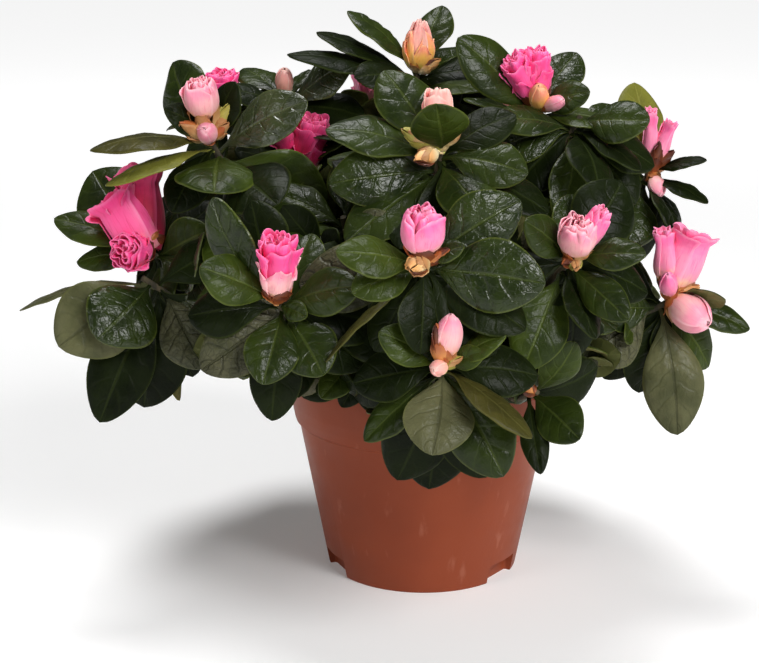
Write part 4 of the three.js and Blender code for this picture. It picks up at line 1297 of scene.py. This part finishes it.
def mass_looks():
    """The materials of a mass's leaves, twigs and buds, in the order of their slots."""
    # Twig bark is darker than the trunk's: partly its own colour, partly painted shade for the inside of
    # the crown
    twig = bark_material("twig_bark", colour(40, 36, 22), colour(74, 64, 42), 420)
    leaves = [leaf_material(f"leaf_{tone}_{i}", LEAF_LOOKS[tone]) for i, tone in enumerate(LEAF_TONES)]
    leaves.append(underside_material("leaf_underside", colour(78, 84, 38), colour(108, 112, 60)))
    leaves.append(underside_material("leaf_underside_olive", colour(104, 104, 50), colour(136, 132, 76)))
    buds = []
    kinds = (("petal", petal_material, PETAL_LOOKS), ("scale", scale_material, SCALE_LOOKS))
    for kind, make, looks in kinds:
        for tone, tints in looks.items():
            buds.append(make(f"{kind}_{tone}", *(colour(*tint) for tint in tints)))
    return {"foliage": leaves, "twigs": [twig], "buds": buds}


def grow_plant():
    build_limbs(bark_material("bark", colour(52, 38, 28), colour(112, 88, 66), 260))
    looks = mass_looks()
    shoots = grow_shoots()
    homes = [nearest_mass(shoot["node"].lerp(shoot["lower"], 0.5)) for shoot in shoots]
    for name in MASSES:
        grow_mass(name, [shoot for shoot, home in zip(shoots, homes) if home == name], looks)


# Pot and soil

def wall_radius(height):
    return FOOT_RADIUS + (WALL_TOP_RADIUS - FOOT_RADIUS) * height / COLLAR_BOTTOM


def rounded(profile, radius):
    """The profile with each corner inside it turned into a small arc."""
    smooth = [Vector(profile[0])]
    for before, corner, after in zip(profile, profile[1:], profile[2:]):
        corner = Vector(corner)
        back, ahead = Vector(before) - corner, Vector(after) - corner
        reach = min(radius, back.length * ARC_SHARE, ahead.length * ARC_SHARE)
        start, end = corner + back.normalized() * reach, corner + ahead.normalized() * reach
        smooth += bezier(start, corner, end, ARC_STEPS)
    smooth.append(Vector(profile[-1]))
    return smooth


def turned_piece(name, profile, segments, material):
    """A closed solid turned about the pot's axis, from a profile that starts and ends on it."""
    rings = profile[1:-1]
    turns = [2 * math.pi * j / segments for j in range(segments)]
    points = [(0, 0, profile[0][1] * MM), (0, 0, profile[-1][1] * MM)]
    for radius, height in rings:
        points += [(radius * math.cos(a) * MM, radius * math.sin(a) * MM, height * MM) for a in turns]
    last = 2 + segments * (len(rings) - 1)
    faces = []
    for j in range(segments):
        k = (j + 1) % segments
        faces += [(0, 2 + k, 2 + j), (1, last + j, last + k)]
        starts = range(2, last, segments)
        faces += [(i + j, i + k, i + segments + k, i + segments + j) for i in starts]
    mesh = bpy.data.meshes.new(name)
    mesh.from_pydata(points, [], faces)
    mesh.materials.append(material)
    return stand(name, mesh)


def cut_notches(pot):
    """The drainage notches in the foot, cut out with rounded blocks."""
    for bearing in NOTCH_BEARINGS:
        bpy.ops.mesh.primitive_cube_add(size=1)
        block = bpy.context.object
        block.scale = (NOTCH["width"] * MM, NOTCH["depth"] * 2 * MM, NOTCH["height"] * 2 * MM)
        turn = Matrix.Rotation(math.radians(bearing), 4, "Z")
        block.location = turn @ Vector((0, -wall_radius(NOTCH["height"]) * MM, 0))
        block.rotation_euler.z = math.radians(bearing)
        bpy.ops.object.transform_apply(location=True, rotation=True, scale=True)
        soften = block.modifiers.new("soften", "BEVEL")
        soften.width = NOTCH["rounding"] * MM
        soften.segments = NOTCH["segments"]
        cut = pot.modifiers.new("notch", "BOOLEAN")
        cut.object = block
        cut.operation = "DIFFERENCE"
        cut.solver = "EXACT"
        evaluated = pot.evaluated_get(bpy.context.evaluated_depsgraph_get())
        pot.data = bpy.data.meshes.new_from_object(evaluated)
        pot.modifiers.clear()
        bpy.data.objects.remove(block)


def build_pot():
    band = wall_radius(FOOT_BAND["height"])
    profile = [
        (0, 0),
        (FOOT_RADIUS, 0),
        (WALL_TOP_RADIUS, COLLAR_BOTTOM),
        *COLLAR_SHOULDER,
        (RIM_RADIUS, COLLAR_FULL),
        (RIM_RADIUS, RIM_HEIGHT),
        (RIM_RADIUS - WALL, RIM_HEIGHT),
        (RIM_RADIUS - WALL, COLLAR_FULL),
        (WALL_TOP_RADIUS - WALL, COLLAR_BOTTOM),
        (band - WALL, FOOT_BAND["height"] + FOOT_BAND["ramp"]),
        (band - FOOT_BAND["wall"], FOOT_BAND["height"]),
        (FOOT_RADIUS - FOOT_BAND["wall"], FLOOR),
        (0, FLOOR),
    ]
    pot = turned_piece("nursery_pot", rounded(profile, POT_ROUNDING), POT_SEGMENTS, pot_material())
    cut_notches(pot)
    pot.data.name = "nursery_pot"
    pot.data.shade_smooth()
    pot.data.set_sharp_from_angle(angle=math.radians(SHARP_ANGLES["pot"]))
    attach(pot, "root")
    dress(pot, "pot")


def build_soil():
    """Peat inside the pot, with an uneven top."""
    material = peat_material()
    edge = WALL_TOP_RADIUS - WALL - SOIL_GAP["wall"]
    foot = FOOT_RADIUS - FOOT_BAND["wall"] - SOIL_GAP["floor"]
    bottom = FLOOR + SOIL_GAP["floor"]
    band_top = FOOT_BAND["height"] + FOOT_BAND["ramp"] + WALL + SOIL_GAP["wall"]
    band_inside = wall_radius(FOOT_BAND["height"]) - WALL - SOIL_GAP["wall"]
    profile = [(0, bottom), (foot, bottom), (foot, FOOT_BAND["height"]), (band_inside, band_top)]
    for i in range(SOIL_STEPS + 1):
        radius = edge + (SOIL_CROWN_RADIUS - edge) * i / SOIL_STEPS
        profile.append((radius, SOIL_EDGE + (SOIL_TOP - SOIL_EDGE) * i / SOIL_STEPS))
    profile += [(SOIL_CROWN_RADIUS * share, SOIL_TOP) for share in (0.7, 0.35, 0)]
    soil = turned_piece("peat_soil", profile, SOIL_SEGMENTS, material)
    for vertex in soil.data.vertices:
        if vertex.co.z > (SOIL_EDGE - 0.5) * MM:
            vertex.co.z += PEAT_RELIEF * MM * noise.noise(vertex.co * PEAT_GRAIN)
    soil.data.shade_smooth()
    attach(soil, "root")
    dress(soil, "soil")
    strew_crumbs(material, edge)


def strew_crumbs(material, edge):
    """Crumbs of peat and bark on the soil, each a short rough tube."""
    crumbs = Sheets()
    for _ in range(CRUMBS["count"]):
        turn = detail.uniform(0, 2 * math.pi)
        reach = math.sqrt(detail.uniform(*CRUMBS["spread"])) * edge
        fall = max(0, reach - SOIL_CROWN_RADIUS) / (edge - SOIL_CROWN_RADIUS)
        height = SOIL_TOP - (SOIL_TOP - SOIL_EDGE) * fall
        middle = Vector((math.cos(turn) * reach, math.sin(turn) * reach, height))
        spans = (1, 1, CRUMBS["slope"])
        heading = Vector([detail.uniform(-span, span) for span in spans]).normalized()
        size = detail.uniform(*CRUMBS["size"])
        points = [middle + heading * size * place for place, _ in CRUMB_FORM]
        radii = [size * share for _, share in CRUMB_FORM]
        crumbs.limb(points, radii, CRUMBS["sides"], CRUMBS["relief"])
    crumbs.build("peat_crumbs", [material])


# Studio

def lay_floor():
    mesh = bpy.data.meshes.new("floor")
    corners = [(x * FLOOR_REACH, y * FLOOR_REACH, 0) for x, y in ((-1, -1), (1, -1), (1, 1), (-1, 1))]
    mesh.from_pydata(corners, [], [(0, 1, 2, 3)])
    paper = Surface("floor_paper")
    tint = paper.mix(paper.noise(3, 2), colour(246, 246, 246), colour(250, 250, 250))
    away = paper.add("ShaderNodeVectorMath", {0: paper.place()}, "Value", operation="LENGTH")
    glow = paper.step(away, *FLOOR_GLOW)
    mesh.materials.append(paper.finish(tint, 0.9, Emission_Color=(1, 1, 1, 1), Emission_Strength=glow))
    stand("floor", mesh)


def add_light(name, place, target, size, watts):
    lamp = bpy.data.lights.new(name, "AREA")
    lamp.shape = "DISK"
    lamp.size = size
    lamp.energy = watts
    light = stand(name, lamp)
    light.location = place
    light.rotation_euler = (Vector(target) - Vector(place)).to_track_quat("-Z", "Y").to_euler()


def set_studio():
    lay_floor()
    for light in LIGHTS:
        add_light(*light)
    world = bpy.data.worlds.new("studio")
    world.use_nodes = True
    sky = Graph(world.node_tree)
    height = abs(sky.split(sky.place("Generated"))[2])
    glow = sky.step(height, *WORLD_GLOW)
    sky.feed(sky.tree.nodes["Background"], {"Color": (1, 1, 1, 1), "Strength": glow})
    bpy.context.scene.world = world
    bpy.context.scene.view_settings.view_transform = "Standard"
    bpy.context.scene.view_settings.look = "None"
    lens = bpy.data.cameras.new("camera")
    lens.lens = CAMERA_LENS
    lens.sensor_width = SENSOR_WIDTH
    lens.sensor_fit = "HORIZONTAL"
    lens.clip_start = 0.01
    camera = stand("camera", lens)
    camera.location = CAMERA_PLACE
    camera.rotation_euler = (math.radians(90 - CAMERA_PITCH), 0, 0)
    bpy.context.scene.camera = camera


set_studio()
build_pot()
build_soil()
grow_plant()
